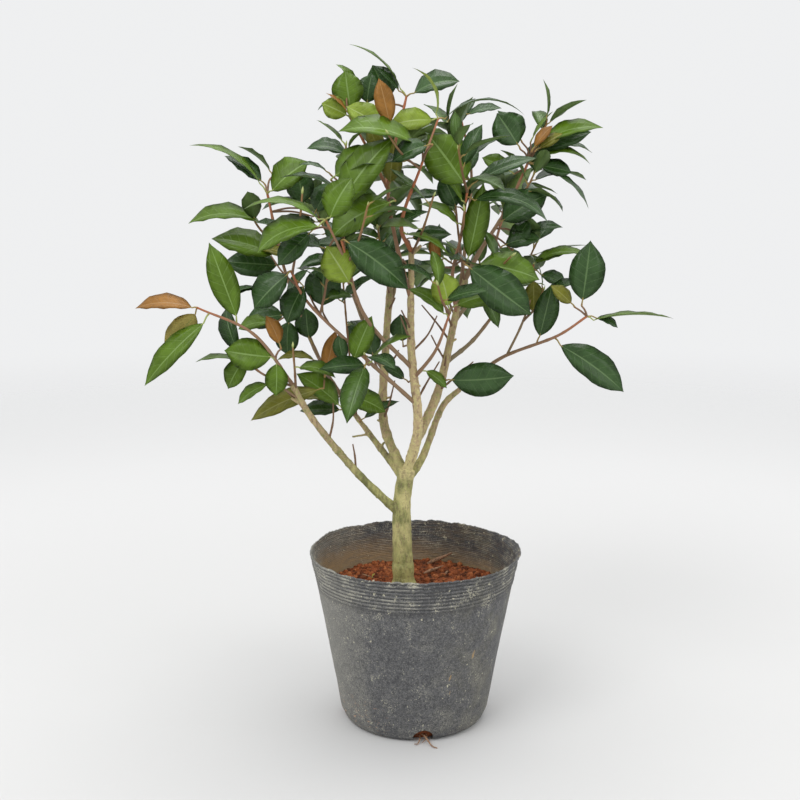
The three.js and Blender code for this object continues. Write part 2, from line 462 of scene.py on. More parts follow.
def lathe(name: str, profile: Sequence[tuple[float, float]], sides: int) -> Object:
    """Turns a profile round the Z axis. Its first and last points lie on the axis.

    Args:
        name: the object's name.
        profile: (radius, height) pairs, from the underside's middle out, up and back in.
        sides: how many steps round.

    Returns:
        A closed mesh object whose faces point out.
    """
    rows = profile[1:-1]
    points = [(0.0, 0.0, profile[0][1])]
    for radius, height in rows:
        for side in range(sides):
            turn = 2 * math.pi * side / sides
            points.append((radius * math.cos(turn), radius * math.sin(turn), height))
    points.append((0.0, 0.0, profile[-1][1]))
    last = len(points) - 1
    faces = []
    for side in range(sides):
        after = (side + 1) % sides
        faces.append((0, 1 + after, 1 + side))
        for row in range(len(rows) - 1):
            low = 1 + row * sides
            high = low + sides
            faces.append((low + side, low + after, high + after, high + side))
        top = 1 + (len(rows) - 1) * sides
        faces.append((last, top + side, top + after))
    return mesh_object(name, points, faces=faces)


def across(way: Vector) -> Vector:
    """A unit vector at right angles to another one, level where it can be."""
    level = way.cross(UP)
    return level.normalized() if level.length > 1e-3 else Vector((1.0, 0.0, 0.0))


# ---- paths


class Course:
    """A smooth path through a few points, with a radius that tapers along it."""

    STEP = 4 * MM
    FINENESS = 24  # steps between two of the points it passes through

    def __init__(self, points: Sequence[Vector], foot: float, tip: float) -> None:
        """Samples the path at even steps.

        Args:
            points: what it passes through, on a centripetal Catmull-Rom curve.
            foot: its radius at the start.
            tip: its radius at the end.
        """
        fine = self._curve(points)
        lengths = [0.0]
        for before, after in zip(fine, fine[1:]):
            lengths.append(lengths[-1] + (after - before).length)
        self.length = lengths[-1]
        self.foot = foot
        self.tip = tip
        count = max(3, round(self.length / self.STEP))
        self.points = []
        place = 0
        for step in range(count + 1):
            wanted = self.length * step / count
            while place < len(lengths) - 2 and lengths[place + 1] < wanted:
                place += 1
            span = max(lengths[place + 1] - lengths[place], 1e-9)
            share = min(1.0, (wanted - lengths[place]) / span)
            self.points.append(fine[place].lerp(fine[place + 1], share))

    @classmethod
    def _curve(cls, points: Sequence[Vector]) -> list[Vector]:
        """Closely spaced points along the curve.

        Args:
            points: what it passes through.

        Returns:
            The points.
        """
        ends = [points[0] * 2 - points[1], *points, points[-1] * 2 - points[-2]]
        fine = [points[0].copy()]
        for p0, p1, p2, p3 in zip(ends, ends[1:], ends[2:], ends[3:]):
            t0, t1, t2 = (max((b - a).length ** 0.5, 1e-4) for a, b in ((p0, p1), (p1, p2), (p2, p3)))
            slope1 = ((p1 - p0) / t0 - (p2 - p0) / (t0 + t1) + (p2 - p1) / t1) * t1
            slope2 = ((p2 - p1) / t1 - (p3 - p1) / (t1 + t2) + (p3 - p2) / t2) * t1
            square = p1 * -3 + p2 * 3 - slope1 * 2 - slope2
            cube = p1 * 2 - p2 * 2 + slope1 + slope2
            for step in range(1, cls.FINENESS + 1):
                t = step / cls.FINENESS
                fine.append(p1 + slope1 * t + square * t ** 2 + cube * t ** 3)
        return fine

    def at(self, share: float) -> Vector:
        """The point at a share of the length."""
        place = min(max(share, 0.0), 1.0) * (len(self.points) - 1)
        low = min(int(place), len(self.points) - 2)
        return self.points[low].lerp(self.points[low + 1], place - low)

    def heading(self, share: float) -> Vector:
        """The unit direction at a share of the length."""
        step = 1.5 / len(self.points)
        return (self.at(share + step) - self.at(share - step)).normalized()

    def radius(self, share: float) -> float:
        """The radius at a share of the length."""
        return self.foot + (self.tip - self.foot) * share


@dataclass
class Strands:
    """Paths collected for one run of the tube tree, with a radius and a tone at each point."""

    points: list[Vector] = field(default_factory=list)
    edges: list[tuple[int, int]] = field(default_factory=list)
    thick: list[float] = field(default_factory=list)
    tone: list[float] = field(default_factory=list)

    def add(self, points: Sequence[Vector], thick: Sequence[float], tone: Sequence[float]) -> None:
        """Adds one path.

        Args:
            points: the path.
            thick: its radius at each point.
            tone: a number from 0 to 1 at each point, which its finish turns into colour.
        """
        start = len(self.points)
        self.points.extend(points)
        self.thick.extend(thick)
        self.tone.extend(tone)
        self.edges.extend((start + step, start + step + 1) for step in range(len(points) - 1))

    def add_course(self, course: Course, old: float, young: float, knots: float = 0.0,
                   every: int = 5) -> None:
        """Adds a course.

        Args:
            course: the course.
            old: its tone at the start.
            young: its tone at the tip.
            knots: how far its knots stand out, as a share of its radius.
            every: the steps from one knot to the next.
        """
        count = len(course.points)
        thick = [course.radius(step / count) * (1 + knots * (step % every == 0)) for step in range(count)]
        self.add(course.points, thick, [old + (young - old) * step / count for step in range(count)])


def tube_tree() -> Shaper:
    """The tree that turns paths into closed tubes of their own radius."""
    shaper = Shaper("tubes along paths", {"Sides": int, "Finish": Material})
    curve = shaper.wire("GeometryNodeMeshToCurve", {}, {"Mesh": shaper.size("Geometry")})
    ring = shaper.wire("GeometryNodeCurvePrimitiveCircle", {}, {"Resolution": shaper.size("Sides"),
                                                                "Radius": 1.0})
    return shaper.dress(shaper.wire("GeometryNodeCurveToMesh", {}, {
        "Curve": curve, "Profile Curve": ring, "Scale": shaper.read("thick"), "Fill Caps": True}))


# ---- finishes


@dataclass(frozen=True)
class NurseryPlastic:
    """Soft black polyethylene, dusty on its ridges and scuffed, stained by soil on the inside; the ridges
    also carry a painted highlight, the hollows between the rings painted shade and the left side painted
    light.
    """

    dark: tuple = (0.050, 0.051, 0.055)
    pale: tuple = (0.142, 0.142, 0.144)
    # painted shade for the hollows between the rings
    painted_groove_shade: tuple = (0.022, 0.022, 0.024)
    # pale dust, also used for painted light on the left side and a painted highlight on the ridges
    dust_and_painted_light: tuple = (0.350, 0.340, 0.290)
    scuff: tuple = (0.600, 0.570, 0.420)
    clay: tuple = (0.380, 0.255, 0.125)
    algae: tuple = (0.150, 0.140, 0.085)

    def material(self, height: float, soil: float) -> Material:
        """Builds the material.

        Args:
            height: the pot's height.
            soil: the soil's level.

        Returns:
            The material.
        """
        paint = Paint("nursery plastic")
        ridge = paint.attribute("ridge")
        inside = paint.attribute("inside")
        rise = paint.axis(2)
        side = paint.axis(0)
        clouds = paint.cloud(26.0, 6.0, 0.7)
        patches = paint.cloud(60.0, 5.0, 0.7)
        hoops = paint.grain((0.22, 0.22, 1.6), 260.0, 4.0, 0.7)
        scratches = paint.grain((1.0, 1.0, 0.8), 330.0, 5.0, 0.75)
        grain = paint.cloud(700.0, 4.0, 0.75)
        upper = rise.band(height - 0.05, height - 0.02)
        worn = patches * 0.18 + scratches * 0.42 + grain * 0.40
        paint.colour = paint.mix(worn.band(0.41, 0.60), self.dark, self.pale)
        green = side.band(0.01, 0.09) * clouds.band(0.42, 0.62) * 0.35
        paint.coat(green, self.algae)
        # dust towards the bottom, and painted light: the left side, towards the key lamp, is made paler
        low_dust_and_left_light = rise.band(0.045, 0.0) * 0.5 + side.band(-0.035, -0.09) * 1.1
        dust_film_and_left_light = (clouds + low_dust_and_left_light * 0.25).band(0.52, 0.70) * grain.band(0.38, 0.62)
        paint.coat(dust_film_and_left_light * 0.42, self.dust_and_painted_light)
        # painted light: the left side is made paler still
        paint.coat(side.band(-0.045, -0.10) * (0.18 + patches * 0.25), self.dust_and_painted_light)
        fibres = paint.grain((0.7, 0.7, 1.0), 900.0, 3.0, 0.8).band(0.56, 0.66)
        paint.coat(fibres * 0.50, self.dust_and_painted_light)
        ringed = rise.band(height - 0.040, height - 0.030)
        ringed = ringed + inside * (rise.band(soil, soil + 0.006) - ringed)
        # painted shade: the hollows between the rings are darkened
        paint.coat(ringed * ridge.band(0.35, 0.05) * 0.6, self.painted_groove_shade)
        # dust and a painted highlight: the crests of the rings are made paler
        broken = (patches * 0.45 + hoops * 0.55).band(0.47, 0.57)
        crest = ridge.band(0.40, 0.85) * (broken * 0.70 + 0.05)
        paint.coat(crest, self.dust_and_painted_light)
        specks = (grain * 0.6 + patches * 0.4 + upper * 0.02).band(0.585, 0.615)
        paint.coat(specks * 0.6, self.scuff)
        spots = (paint.cloud(210.0, 2.0, 0.6) + upper * 0.03).band(0.70, 0.73)
        paint.coat(spots * 0.75, self.scuff)
        peach = paint.grain((1.0, 1.0, 1.7), 190.0, 3.0, 0.7).band(0.60, 0.66)
        corner = rise.band(0.05, 0.02) * side.band(-0.02, -0.05)
        paint.coat(peach * corner * 0.7, (0.60, 0.36, 0.22))
        stained = rise + (clouds - 0.5) * 0.03 + side * 0.10
        stain = inside * stained.band(soil + 0.026, soil - 0.004) * 0.9
        rust = inside * (hoops * 0.6 + clouds * 0.4).band(0.44, 0.58) * 0.16
        paint.coat(stain * (0.15 + hoops * 1.1) + rust, self.clay)
        rough = 0.48 + grain * 0.25 + dust_film_and_left_light * 0.2
        normal = paint.bump(grain * 0.3 + scratches * 0.4 + patches * 0.3, 0.0012)
        return paint.finish(rough, normal, Specular_IOR_Level=0.4)


@dataclass(frozen=True)
class Bark:
    """Bark that goes from olive and green at the foot to tan, and red-brown on young shoots."""

    olive: tuple = (0.440, 0.430, 0.160)
    green: tuple = (0.180, 0.190, 0.065)
    tan: tuple = (0.660, 0.585, 0.270)
    rose: tuple = (0.500, 0.345, 0.215)
    brown: tuple = (0.150, 0.105, 0.065)
    scar: tuple = (0.070, 0.050, 0.030)

    def material(self) -> Material:
        """Builds the material; the mesh's tone goes from 0, green, to 1, tan."""
        paint = Paint("bark")
        tone = paint.attribute("tone")
        long_grain = paint.grain((1.0, 1.0, 0.22), 420.0, 4.0, 0.65)
        patches = paint.grain((1.0, 1.0, 0.4), 85.0, 4.0, 0.65)
        flecks = paint.grain((1.0, 1.0, 2.2), 520.0, 2.0, 0.5)
        paint.colour = paint.mix(patches.band(0.36, 0.62), self.green, self.olive)
        share = (tone + (patches - 0.5) * 0.8 + (long_grain - 0.5) * 0.7).band(0.22, 0.8)
        paint.coat(share, self.tan)
        rise = paint.axis(2) + (patches - 0.5) * 0.12
        mottle = paint.cloud(260.0, 5.0, 0.75)
        upper = rise.band(0.24, 0.33) * mottle.band(0.36, 0.58) * 0.85
        paint.coat(upper, self.rose)
        fissures = (long_grain * 0.55 + mottle * 0.45).band(0.50, 0.60) * 0.55
        paint.coat(fissures, self.brown)
        paint.coat(flecks.band(0.66, 0.72) * 0.7, self.scar)
        paint.coat(flecks.band(0.36, 0.30) * 0.5, (0.52, 0.46, 0.30))
        normal = paint.bump(long_grain * 0.5 + flecks * 0.2 + mottle * 0.5, 0.0016)
        return paint.finish(0.72 + (patches - 0.5) * 0.25, normal, Specular_IOR_Level=0.35)


@dataclass(frozen=True)
class ShootSkin:
    """The skin of a shoot, from an old colour where its tone is 0 to a young one where it is 1."""

    name: str
    old: tuple
    middle: tuple
    young: tuple

    def material(self) -> Material:
        """Builds the material."""
        paint = Paint(self.name)
        tone = paint.attribute("tone")
        grain = paint.grain((1.0, 1.0, 0.3), 700.0, 3.0, 0.6)
        spots = paint.cloud(1100.0, 2.0, 0.5)
        shifted = tone + (grain - 0.5) * 0.35
        paint.colour = paint.mix(shifted.band(0.1, 0.55), self.old, self.middle)
        paint.coat(shifted.band(0.5, 0.95), self.young)
        paint.coat(spots.band(0.64, 0.72) * 0.5, (0.09, 0.06, 0.035))
        normal = paint.bump(grain, 0.0004)
        return paint.finish(0.5 + grain * 0.2, normal, Specular_IOR_Level=0.4)


@dataclass(frozen=True)
class LeafSkin:
    """The three finishes of one kind of leaf: its glossy upper side, its dull underside, its midrib."""

    name: str
    upper: tuple
    under: tuple
    rib: tuple
    gloss: float

    def side(self, name: str, base: tuple, roughness: float, relief: float,
             vein: float) -> Material:
        """Builds one side's material.

        Args:
            name: the material's name.
            base: its colour.
            roughness: its average roughness.
            relief: the depth of its veins, in metres.
            vein: how much paler its veins are, from 0 to 1.

        Returns:
            The material.
        """
        paint = Paint(name)
        along = paint.attribute("leaf_u")
        out = paint.attribute("leaf_v").size()
        wave = ((along * 1.0 - out * 0.16) * 2 * math.pi * 8.0).sine()
        lines = wave.band(0.80, 0.99) * out.band(1.0, 0.75)
        clouds = paint.cloud(55.0, 3.0, 0.6)
        pores = paint.cloud(1500.0, 2.0, 0.6)
        lighter = tuple(min(1.0, part * 1.5 + 0.012) for part in base)
        darker = tuple(part * 0.68 for part in base)
        paint.colour = paint.mix(clouds.band(0.32, 0.68), darker, lighter)
        paint.coat(0.5, base)
        paint.coat(lines * vein, self.rib)
        rough = roughness + (pores - 0.5) * 0.16 + (clouds - 0.5) * 0.12
        normal = paint.bump(lines * -0.7 + pores * 0.25 + clouds * 1.6, relief)
        return paint.finish(rough, normal, Specular_IOR_Level=0.3)

    def materials(self) -> dict[str, Material]:
        """Builds all three materials, by the leaf tree's input names."""
        rib_paint = Paint(f"{self.name} midrib")
        grain = rib_paint.cloud(900.0, 2.0, 0.5)
        rib_paint.colour = rib_paint.mix(grain, self.rib, tuple(part * 0.75 for part in self.rib))
        return {
            "Upper": self.side(f"{self.name} upper side", self.upper, self.gloss, 0.00035, 0.22),
            "Under": self.side(f"{self.name} underside", self.under, 0.55, 0.00025, 0.25),
            "Rib": rib_paint.finish(0.45, rib_paint.bump(grain, 0.0002)),
        }


@dataclass(frozen=True)
class RedSoil:
    """Moist gritty red soil."""

    dark: tuple = (0.075, 0.020, 0.008)
    red: tuple = (0.300, 0.085, 0.028)
    orange: tuple = (0.450, 0.165, 0.060)

    def material(self) -> Material:
        """Builds the material; the mesh's tone tells one granule from the next."""
        paint = Paint("red soil")
        tone = paint.attribute("tone")
        grain = paint.cloud(900.0, 4.0, 0.7)
        patches = paint.cloud(60.0, 2.0, 0.5)
        share = tone * 0.7 + grain * 0.5 + (patches - 0.5) * 0.5
        paint.colour = paint.mix(share.band(0.15, 0.6), self.dark, self.red)
        paint.coat(share.band(0.6, 1.15), self.orange)
        # painted shade: dark patches stand for the shaded crevices between clods
        gap_shade = paint.cloud(130.0, 3.0, 0.65).band(0.53, 0.62)
        paint.coat(gap_shade * 0.75, (0.045, 0.020, 0.010))
        return paint.finish(0.9, paint.bump(grain, 0.0009), Specular_IOR_Level=0.25)


@dataclass(frozen=True)
class Plain:
    """A plain natural stuff with fine mottling, such as stone, wood chip or a bud's scales."""

    name: str
    pale: tuple
    dark: tuple
    roughness: float = 0.7

    def material(self) -> Material:
        """Builds the material."""
        paint = Paint(self.name)
        grain = paint.cloud(500.0, 3.0, 0.6)
        paint.colour = paint.mix(grain.band(0.35, 0.65), self.dark, self.pale)
        return paint.finish(self.roughness + (grain - 0.5) * 0.2, paint.bump(grain, 0.0004))


# ---- the pot


@dataclass
class Pot:
    """The soft pot: a thin ringed wall with dents, a torn rim and four drain holes."""

    height: float
    rim: float
    foot: float
    soil_level: float
    wall: float = 1.1 * MM
    foot_round: float = 9 * MM
    ring_pitch: float = 3.9 * MM
    ring_depth: float = 1.05 * MM
    ringed: float = 37 * MM  # how far the rings run down the outside
    sides: int = 320
    drain_radius: float = 10.6 * MM
    drain_drop: float = -4.5 * MM
    drain_turn: float = math.radians(6.5)  # from the front to the first drain hole
    drains: int = 4
    drain_sides: int = 28
    drain_reach: float = 12 * MM  # of a cutter, to each side of the wall
    drain_unevenness: float = 0.07
    fine_step: float = 0.55 * MM  # up the ringed part of the wall
    coarse_step: float = 2.6 * MM  # up the rest

    @classmethod
    def from_frame(cls) -> "Pot":
        """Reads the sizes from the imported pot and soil."""
        low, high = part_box("pot")
        points = [vertex.co for vertex in frame["nodes"]["pot"].data.vertices]
        foot = max(point.xy.length for point in points if point.z < 10 * MM)
        return cls(height=high[2], rim=(high[1] - low[1]) / 2, foot=foot, soil_level=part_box("soil")[1][2])

    def radius(self, rise: float) -> float:
        """The wall's outer radius at a height."""
        return self.foot + (self.rim - self.foot) * rise / self.height

    def profile(self) -> list[tuple[float, float]]:
        """The wall's section, from the underside's middle out, up, over the rim and back down."""
        outer = [(0.0, 0.0), (self.foot * 0.5, 0.0)]
        for step in range(7):
            turn = step / 6 * math.pi / 2
            outer.append((self.foot - self.foot_round * (1 - math.sin(turn)),
                          self.foot_round * (1 - math.cos(turn))))
        ring_foot = self.height - self.ringed
        outer += self._wall(self.foot_round + 3 * MM, ring_foot, self.coarse_step)
        outer += self._wall(ring_foot, self.height, self.fine_step)
        lip = [(radius - self.wall * 0.5, rise + self.wall * 0.4) for radius, rise in outer[-1:]]
        inner_foot = self.soil_level - 8 * MM
        inner = [(radius - self.wall, rise)
                 for radius, rise in reversed(self._wall(inner_foot, self.height, self.fine_step))]
        below = [(self.radius(rise) - self.wall, rise) for rise in
                 (inner_foot - 30 * MM, inner_foot - 70 * MM, self.foot_round + 4 * MM)]
        floor = [(self.foot - self.foot_round, self.wall), (self.foot * 0.5, self.wall), (0.0, self.wall)]
        return outer + lip + inner + below + floor

    def _wall(self, low: float, high: float, step: float) -> list[tuple[float, float]]:
        """Points up the wall, no more than a step apart.

        Args:
            low: the lowest height.
            high: the highest height.
            step: the step.

        Returns:
            (radius, height) pairs.
        """
        count = math.ceil((high - low) / step)
        rises = [low + (high - low) * number / count for number in range(count + 1)]
        return [(self.radius(rise), rise) for rise in rises]

    def tree(self) -> Shaper:
        """The tree that gives the smooth wall its rings, dents and wavy rim."""
        shaper = Shaper("soft pot", {"Ring depth": float, "Ring pitch": float, "Dent": float, "Wave": float,
                                     "Finish": Material})
        position = shaper.position()
        x, y, rise = shaper.split(position)
        turn = shaper.maths("ARCTAN2", y, x)
        radius = (x * x + y * y) ** 0.5
        inside = shaper.read("inside")
        jitter = shaper.noise(position, 9.0, 1.0) - 0.5
        phase = (rise + jitter * 0.0018) / shaper.size("Ring pitch")
        saw = shaper.maths("FRACT", phase * (1.0 + inside))
        crest = saw.band(0.0, 0.7) * saw.band(1.0, 0.78)
        outer_zone = rise.band(self.height - self.ringed, self.height - self.ringed * 0.72)
        inner_zone = rise.band(self.soil_level - 6 * MM, self.soil_level + 6 * MM)
        zone = outer_zone + inside * (inner_zone - outer_zone)
        faded = shaper.noise(position, 34.0, 3.0, 0.6).band(0.36, 0.58) * 0.75 + 0.25
        ridge = crest * zone * faded
        body = radius.band(self.foot * 0.6, self.foot * 0.95)
        dents = (shaper.noise(position, 17.0, 2.0, 0.5) - 0.5) * 2.0
        slow = (turn * 3.0 + 0.9).sine() * 0.35 + (turn * 2.0 - 1.1).sine() * 0.3
        middle = rise.band(0.012, 0.05)
        crease_at = (x - 0.048) - (rise - 0.085) * 0.62
        crease = crease_at.size().band(0.005, 0.0) * (y < 0.0)
        crease = crease * rise.band(0.035, 0.06) * rise.band(0.15, 0.12)
        push = (ridge * shaper.size("Ring depth") * (1.0 - inside * 2.0)
                + (dents + slow) * middle * shaper.size("Dent") + crease * 0.0016) * body
        near_rim = rise.band(self.height - 0.022, self.height)
        torn = (shaper.noise(position, 150.0, 5.0, 0.85) - 0.5) * 3.4
        torn = torn + (shaper.noise(position, 22.0, 2.0) - 0.5) * 3.2
        kink = x.band(self.rim * 0.80, self.rim * 0.96) * near_rim
        lift = torn * near_rim * shaper.size("Wave") - 0.0008 * near_rim
        push = push + kink * ((rise * 420.0).sine() * 0.0016 + 0.0012)
        spoke = radius + 1e-6
        offset = shaper.vector(x / spoke, y / spoke, 0.0) * push + shaper.vector(0.0, 0.0, lift)
        marked = shaper.store(shaper.size("Geometry"), "ridge", ridge)
        return shaper.dress(shaper.moved(marked, Offset=offset))

    def build(self) -> None:
        """Builds the pot in place of its plain solid."""
        profile = self.profile()
        shell = lathe("pot_shell", profile, self.sides)
        top = max(range(len(profile)), key=lambda number: profile[number][1])
        rows = range(1, len(profile) - 1)
        flags = [0.0] + [float(row > top) for row in rows for _ in range(self.sides)] + [1.0]
        mark_points(shell.data, "inside", flags)
        shaped = self.tree().run(shell, "shaped_pot", {
            "Ring depth": self.ring_depth, "Ring pitch": self.ring_pitch, "Dent": 1.1 * MM,
            "Wave": 2.1 * MM, "Finish": NurseryPlastic().material(self.height, self.soil_level)})
        cutters = [self._drain(number) for number in range(self.drains)]
        for cutter in cutters:
            cut = shaped.modifiers.new("drain hole", "BOOLEAN")
            cut.operation = "DIFFERENCE"
            cut.solver = "EXACT"
            cut.object = cutter
        piece = plain_copy(shaped, "nursery_pot")
        for cutter in cutters:
            bpy.data.objects.remove(cutter, do_unlink=True)
        place_piece(piece, "pot_plastic", "pot")

    def _drain(self, number: int) -> Object:
        """The cutter of one drain hole, a short bar with an uneven edge lying under the wall.

        Args:
            number: which hole it is.

        Returns:
            The cutter.
        """
        turn = self.drain_turn + 2 * math.pi * number / self.drains
        out = Vector((math.sin(turn), -math.cos(turn), 0.0))
        side = UP.cross(out)
        middle = out * self.foot - UP * self.drain_drop
        sides = self.drain_sides
        points = []
        for reach in (-self.drain_reach, self.drain_reach):
            for step in range(sides):
                angle = 2 * math.pi * step / sides
                seat = Vector((math.cos(angle), math.sin(angle), number * 3.0))
                uneven = 1 + self.drain_unevenness * noise.noise(seat * 1.6)
                spoke = side * math.cos(angle) + UP * math.sin(angle) * 0.92
                points.append(middle + out * reach + spoke * self.drain_radius * uneven)
        faces = [tuple(reversed(range(sides))), tuple(range(sides, 2 * sides))]
        for step in range(sides):
            after = (step + 1) % sides
            faces.append((step, after, sides + after, sides + step))
        cutter = mesh_object(f"drain_{number}", points, faces=faces)
        outward(cutter)
        return cutter


def outward(piece: Object) -> None:
    """Turns a closed mesh's faces outwards."""
    shell = bmesh.new()
    shell.from_mesh(piece.data)
    bmesh.ops.recalc_face_normals(shell, faces=shell.faces)
    shell.to_mesh(piece.data)
    shell.free()


def place_piece(piece: Object, slot: str, *nodes: str) -> None:
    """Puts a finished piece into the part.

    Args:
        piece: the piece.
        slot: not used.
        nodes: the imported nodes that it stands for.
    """
    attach(piece, "root")
    if nodes:
        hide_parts(*nodes)
    log.info("%s: %d faces", piece.name, len(piece.data.polygons))


# ---- the soil


@dataclass
class Soil:
    """The bed of red soil: a lumpy mound, loose granules, chips, stones and a sprout."""

    pot: Pot
    trunk_foot: Vector
    tubes: Shaper
    rings: int = 44
    sides: int = 120
    granules_per_m2: float = 95000.0
    granule: float = 1.7 * MM
    clearance: float = 4.5 * MM
    seed: int = 5

    def surface(self, x: float, y: float) -> float:
        """The height of the soil at a place, mounded round the trunk."""
        lumps = noise.noise(Vector((x, y, 0.3)) * 60.0) * 1.6 * MM
        lumps += noise.noise(Vector((x, y, 4.0)) * 190.0) * MM
        near = math.exp(-(Vector((x, y)) - self.trunk_foot.xy).length / 0.03)
        return self.pot.soil_level - 3.2 * MM + lumps + near * 2.2 * MM

    def mound(self) -> Object:
        """The solid body of the soil, down to the pot's floor."""
        pot = self.pot
        edge = pot.radius(pot.soil_level) - pot.wall - self.clearance
        low = pot.wall + 0.6 * MM
        foot = pot.foot - pot.foot_round
        profile = [(0.0, low), (foot, low)]
        profile += [(pot.radius(rise) - pot.wall - self.clearance, rise) for rise in (14 * MM, 60 * MM)]
        profile += [(edge * (1 - ring / self.rings), pot.soil_level) for ring in range(self.rings)]
        profile.append((0.0, pot.soil_level))
        body = lathe("soil_body", profile, self.sides)
        for vertex in body.data.vertices:
            if vertex.co.z > pot.soil_level - MM:
                vertex.co.z = self.surface(vertex.co.x, vertex.co.y)
        mark_points(body.data, "tone", [0.25] * len(body.data.vertices))
        return body

    def granule_tree(self) -> Shaper:
        """The tree that scatters uneven granules over the faces that look up."""
        shaper = Shaper("soil granules", {"Density": float, "Size": float, "Seed": int,
                                          "Finish": Material})
        level = shaper.split(shaper.normal())[2] > 0.5
        scatter = shaper.wire("GeometryNodeDistributePointsOnFaces", {"distribute_method": "RANDOM"},
                              {"Mesh": shaper.size("Geometry"), "Selection": level,
                               "Density": shaper.size("Density"), "Seed": shaper.size("Seed")})
        grain = shaper.wire("GeometryNodeMeshIcoSphere", {}, {"Radius": 1.0, "Subdivisions": 1})
        scale = (0.35 + self._chance(shaper, 1) ** 4.0 * 1.9) * shaper.size("Size")
        turn = shaper.wire("FunctionNodeRandomValue", {"data_type": "FLOAT_VECTOR"},
                           {0: (0.0, 0.0, 0.0), 1: (6.28, 6.28, 6.28), "Seed": 7})
        placed = shaper.wire("GeometryNodeInstanceOnPoints", {}, {
            "Points": shaper.store(scatter, "tone", self._chance(shaper, 3)), "Instance": grain,
            "Rotation": turn, "Scale": scale})
        rough = shaper.wire("ShaderNodeTexNoise", {}, {"Vector": shaper.position(), "Scale": 420.0,
                                                       "Detail": 1.0}, 1, is_vector=True)
        moved = shaper.moved(shaper.realized(placed), Offset=(rough - (0.5, 0.5, 0.5)) * (2.0 * MM))
        return shaper.close(shaper.painted(shaper.smooth(moved), shaper.size("Finish")))

    @staticmethod
    def _chance(shaper: Shaper, seed: int) -> Wire:
        """A random number from 0 to 1 at each point of a tree's geometry."""
        return shaper.wire("FunctionNodeRandomValue", {"data_type": "FLOAT"},
                           {2: 0.0, 3: 1.0, "Seed": seed}, 1)

    def build(self) -> None:
        """Builds the bed and what lies on it."""
        finish = RedSoil().material()
        body = self.mound()
        seedbed = add_object("seedbed", body.data.copy())
        grains = self.granule_tree().run(seedbed, "soil_granules", {
            "Density": self.granules_per_m2, "Size": self.granule, "Seed": self.seed, "Finish": finish})
        body.data.materials.append(finish)
        for polygon in body.data.polygons:
            polygon.use_smooth = True
        place_piece(body, "soil", "soil")
        place_piece(grains, "soil")
        self.litter()

    def litter(self) -> None:
        """The chips of bark, the pale stones, the sprout, and the root at the front drain hole."""
        chip = Strands()
        for rod in (((0.030, 0.080), 10, 29, (1.4, 2.5, 2.3, 1.5, 0.7), 1.3),
                    ((0.022, 0.050), 32, 26, (1.0, 2.0, 1.3, 0.5), 0.5),
                    ((0.036, 0.046), 70, 13, (0.6, 1.4, 1.5, 0.4), 0.3),
                    ((-0.05, 0.03), 160, 15, (0.4, 0.9, 0.8, 0.3), 0.7),
                    ((0.012, -0.03), 200, 14, (0.4, 1.0, 0.9, 0.3), 0.6)):
            self._rod(chip, *rod)
        stone = Strands()
        self._rod(stone, (0.066, 0.022), 15, 8, (1.2, 2.3, 2.2, 1.0), 0.0)
        self._rod(stone, (-0.044, 0.018), 80, 7, (0.7, 1.5, 1.2, 0.6), 0.0)
        sprout = Strands()
        x, y = -0.046, 0.028
        low = Vector((x, y, self.surface(x, y)))
        sprout.add([low, low + Vector((0.5, 0, 3)) * MM, low + Vector((1.6, 0, 5.5)) * MM,
                    low + Vector((3.4, 0, 6.5)) * MM], [0.35 * MM, 0.35 * MM, 0.8 * MM, 0.15 * MM], [0.8] * 4)
        for name, strands, look, sides in (
                ("bark_chips", chip, Plain("dead bark", (0.36, 0.20, 0.11), (0.14, 0.07, 0.035)), 7),
                ("pale_stones", stone, Plain("pale stone", (0.70, 0.62, 0.48), (0.50, 0.40, 0.28)), 9),
                ("sprout", sprout, Plain("sprout", (0.52, 0.58, 0.12), (0.36, 0.44, 0.08), 0.5), 8),
                ("drain_root", self._root(),
                 Plain("dry root", (0.40, 0.25, 0.15), (0.18, 0.09, 0.05)), 8)):
            piece = grow_tubes(self.tubes, strands, name, sides, look.material())
            place_piece(piece, "soil" if name != "drain_root" else "bark")

    def _rod(self, strands: Strands, at: tuple[float, float], turn: float, length: float,
             thick: Sequence[float], lift: float) -> None:
        """Lays a short uneven rod on the soil.

        Args:
            strands: where it is collected.
            at: the place of its middle.
            turn: its heading, in degrees from +X.
            length: its length in millimetres.
            thick: its radii in millimetres.
            lift: how much it tips up at its far end, as a share of its length.
        """
        way = Vector((math.cos(math.radians(turn)), math.sin(math.radians(turn)), 0.0))
        points = []
        for step in range(len(thick)):
            share = step / (len(thick) - 1)
            place = Vector((*at, 0.0)) + way * (length * MM) * (share - 0.5)
            place.z = self.surface(*at) + 1.4 * MM + share * lift * (length * MM) * 0.3
            points.append(place)
        strands.add(points, [part * MM for part in thick], [0.5] * len(thick))

    def _root(self) -> Strands:
        """A thin root that curls out of the front drain hole onto the surface the pot stands on."""
        turn = self.pot.drain_turn
        out = Vector((math.sin(turn), -math.cos(turn), 0.0))
        side = UP.cross(out)
        strands = Strands()
        runs = (
            ((-10, -1, 6), (-3, 1, 6.5), (3, 4, 4), (8, 6.5, 1.4), (12, 8.5, 1.2), (15, 12, 1.2)),
            ((-10, -3, 4), (-4, -3, 4.5), (1, -4.5, 2.6), (5, -7, 1.2), (6, -10, 2.2)),
            ((-8, 3, 7), (-3, 4, 5), (0, 2, 3), (3, -2, 1.4)))
        for run, thick in zip(runs, (1.15, 0.95, 0.6)):
            points = [out * (self.pot.foot + a * MM) + side * b * MM + UP * c * MM for a, b, c in run]
            course = Course(points, thick * MM, thick * 0.4 * MM)
            count = len(course.points)
            strands.add(course.points, [max(0.3 * MM, course.radius(step / count)) for step in range(count)],
                        [0.5] * count)
        return strands


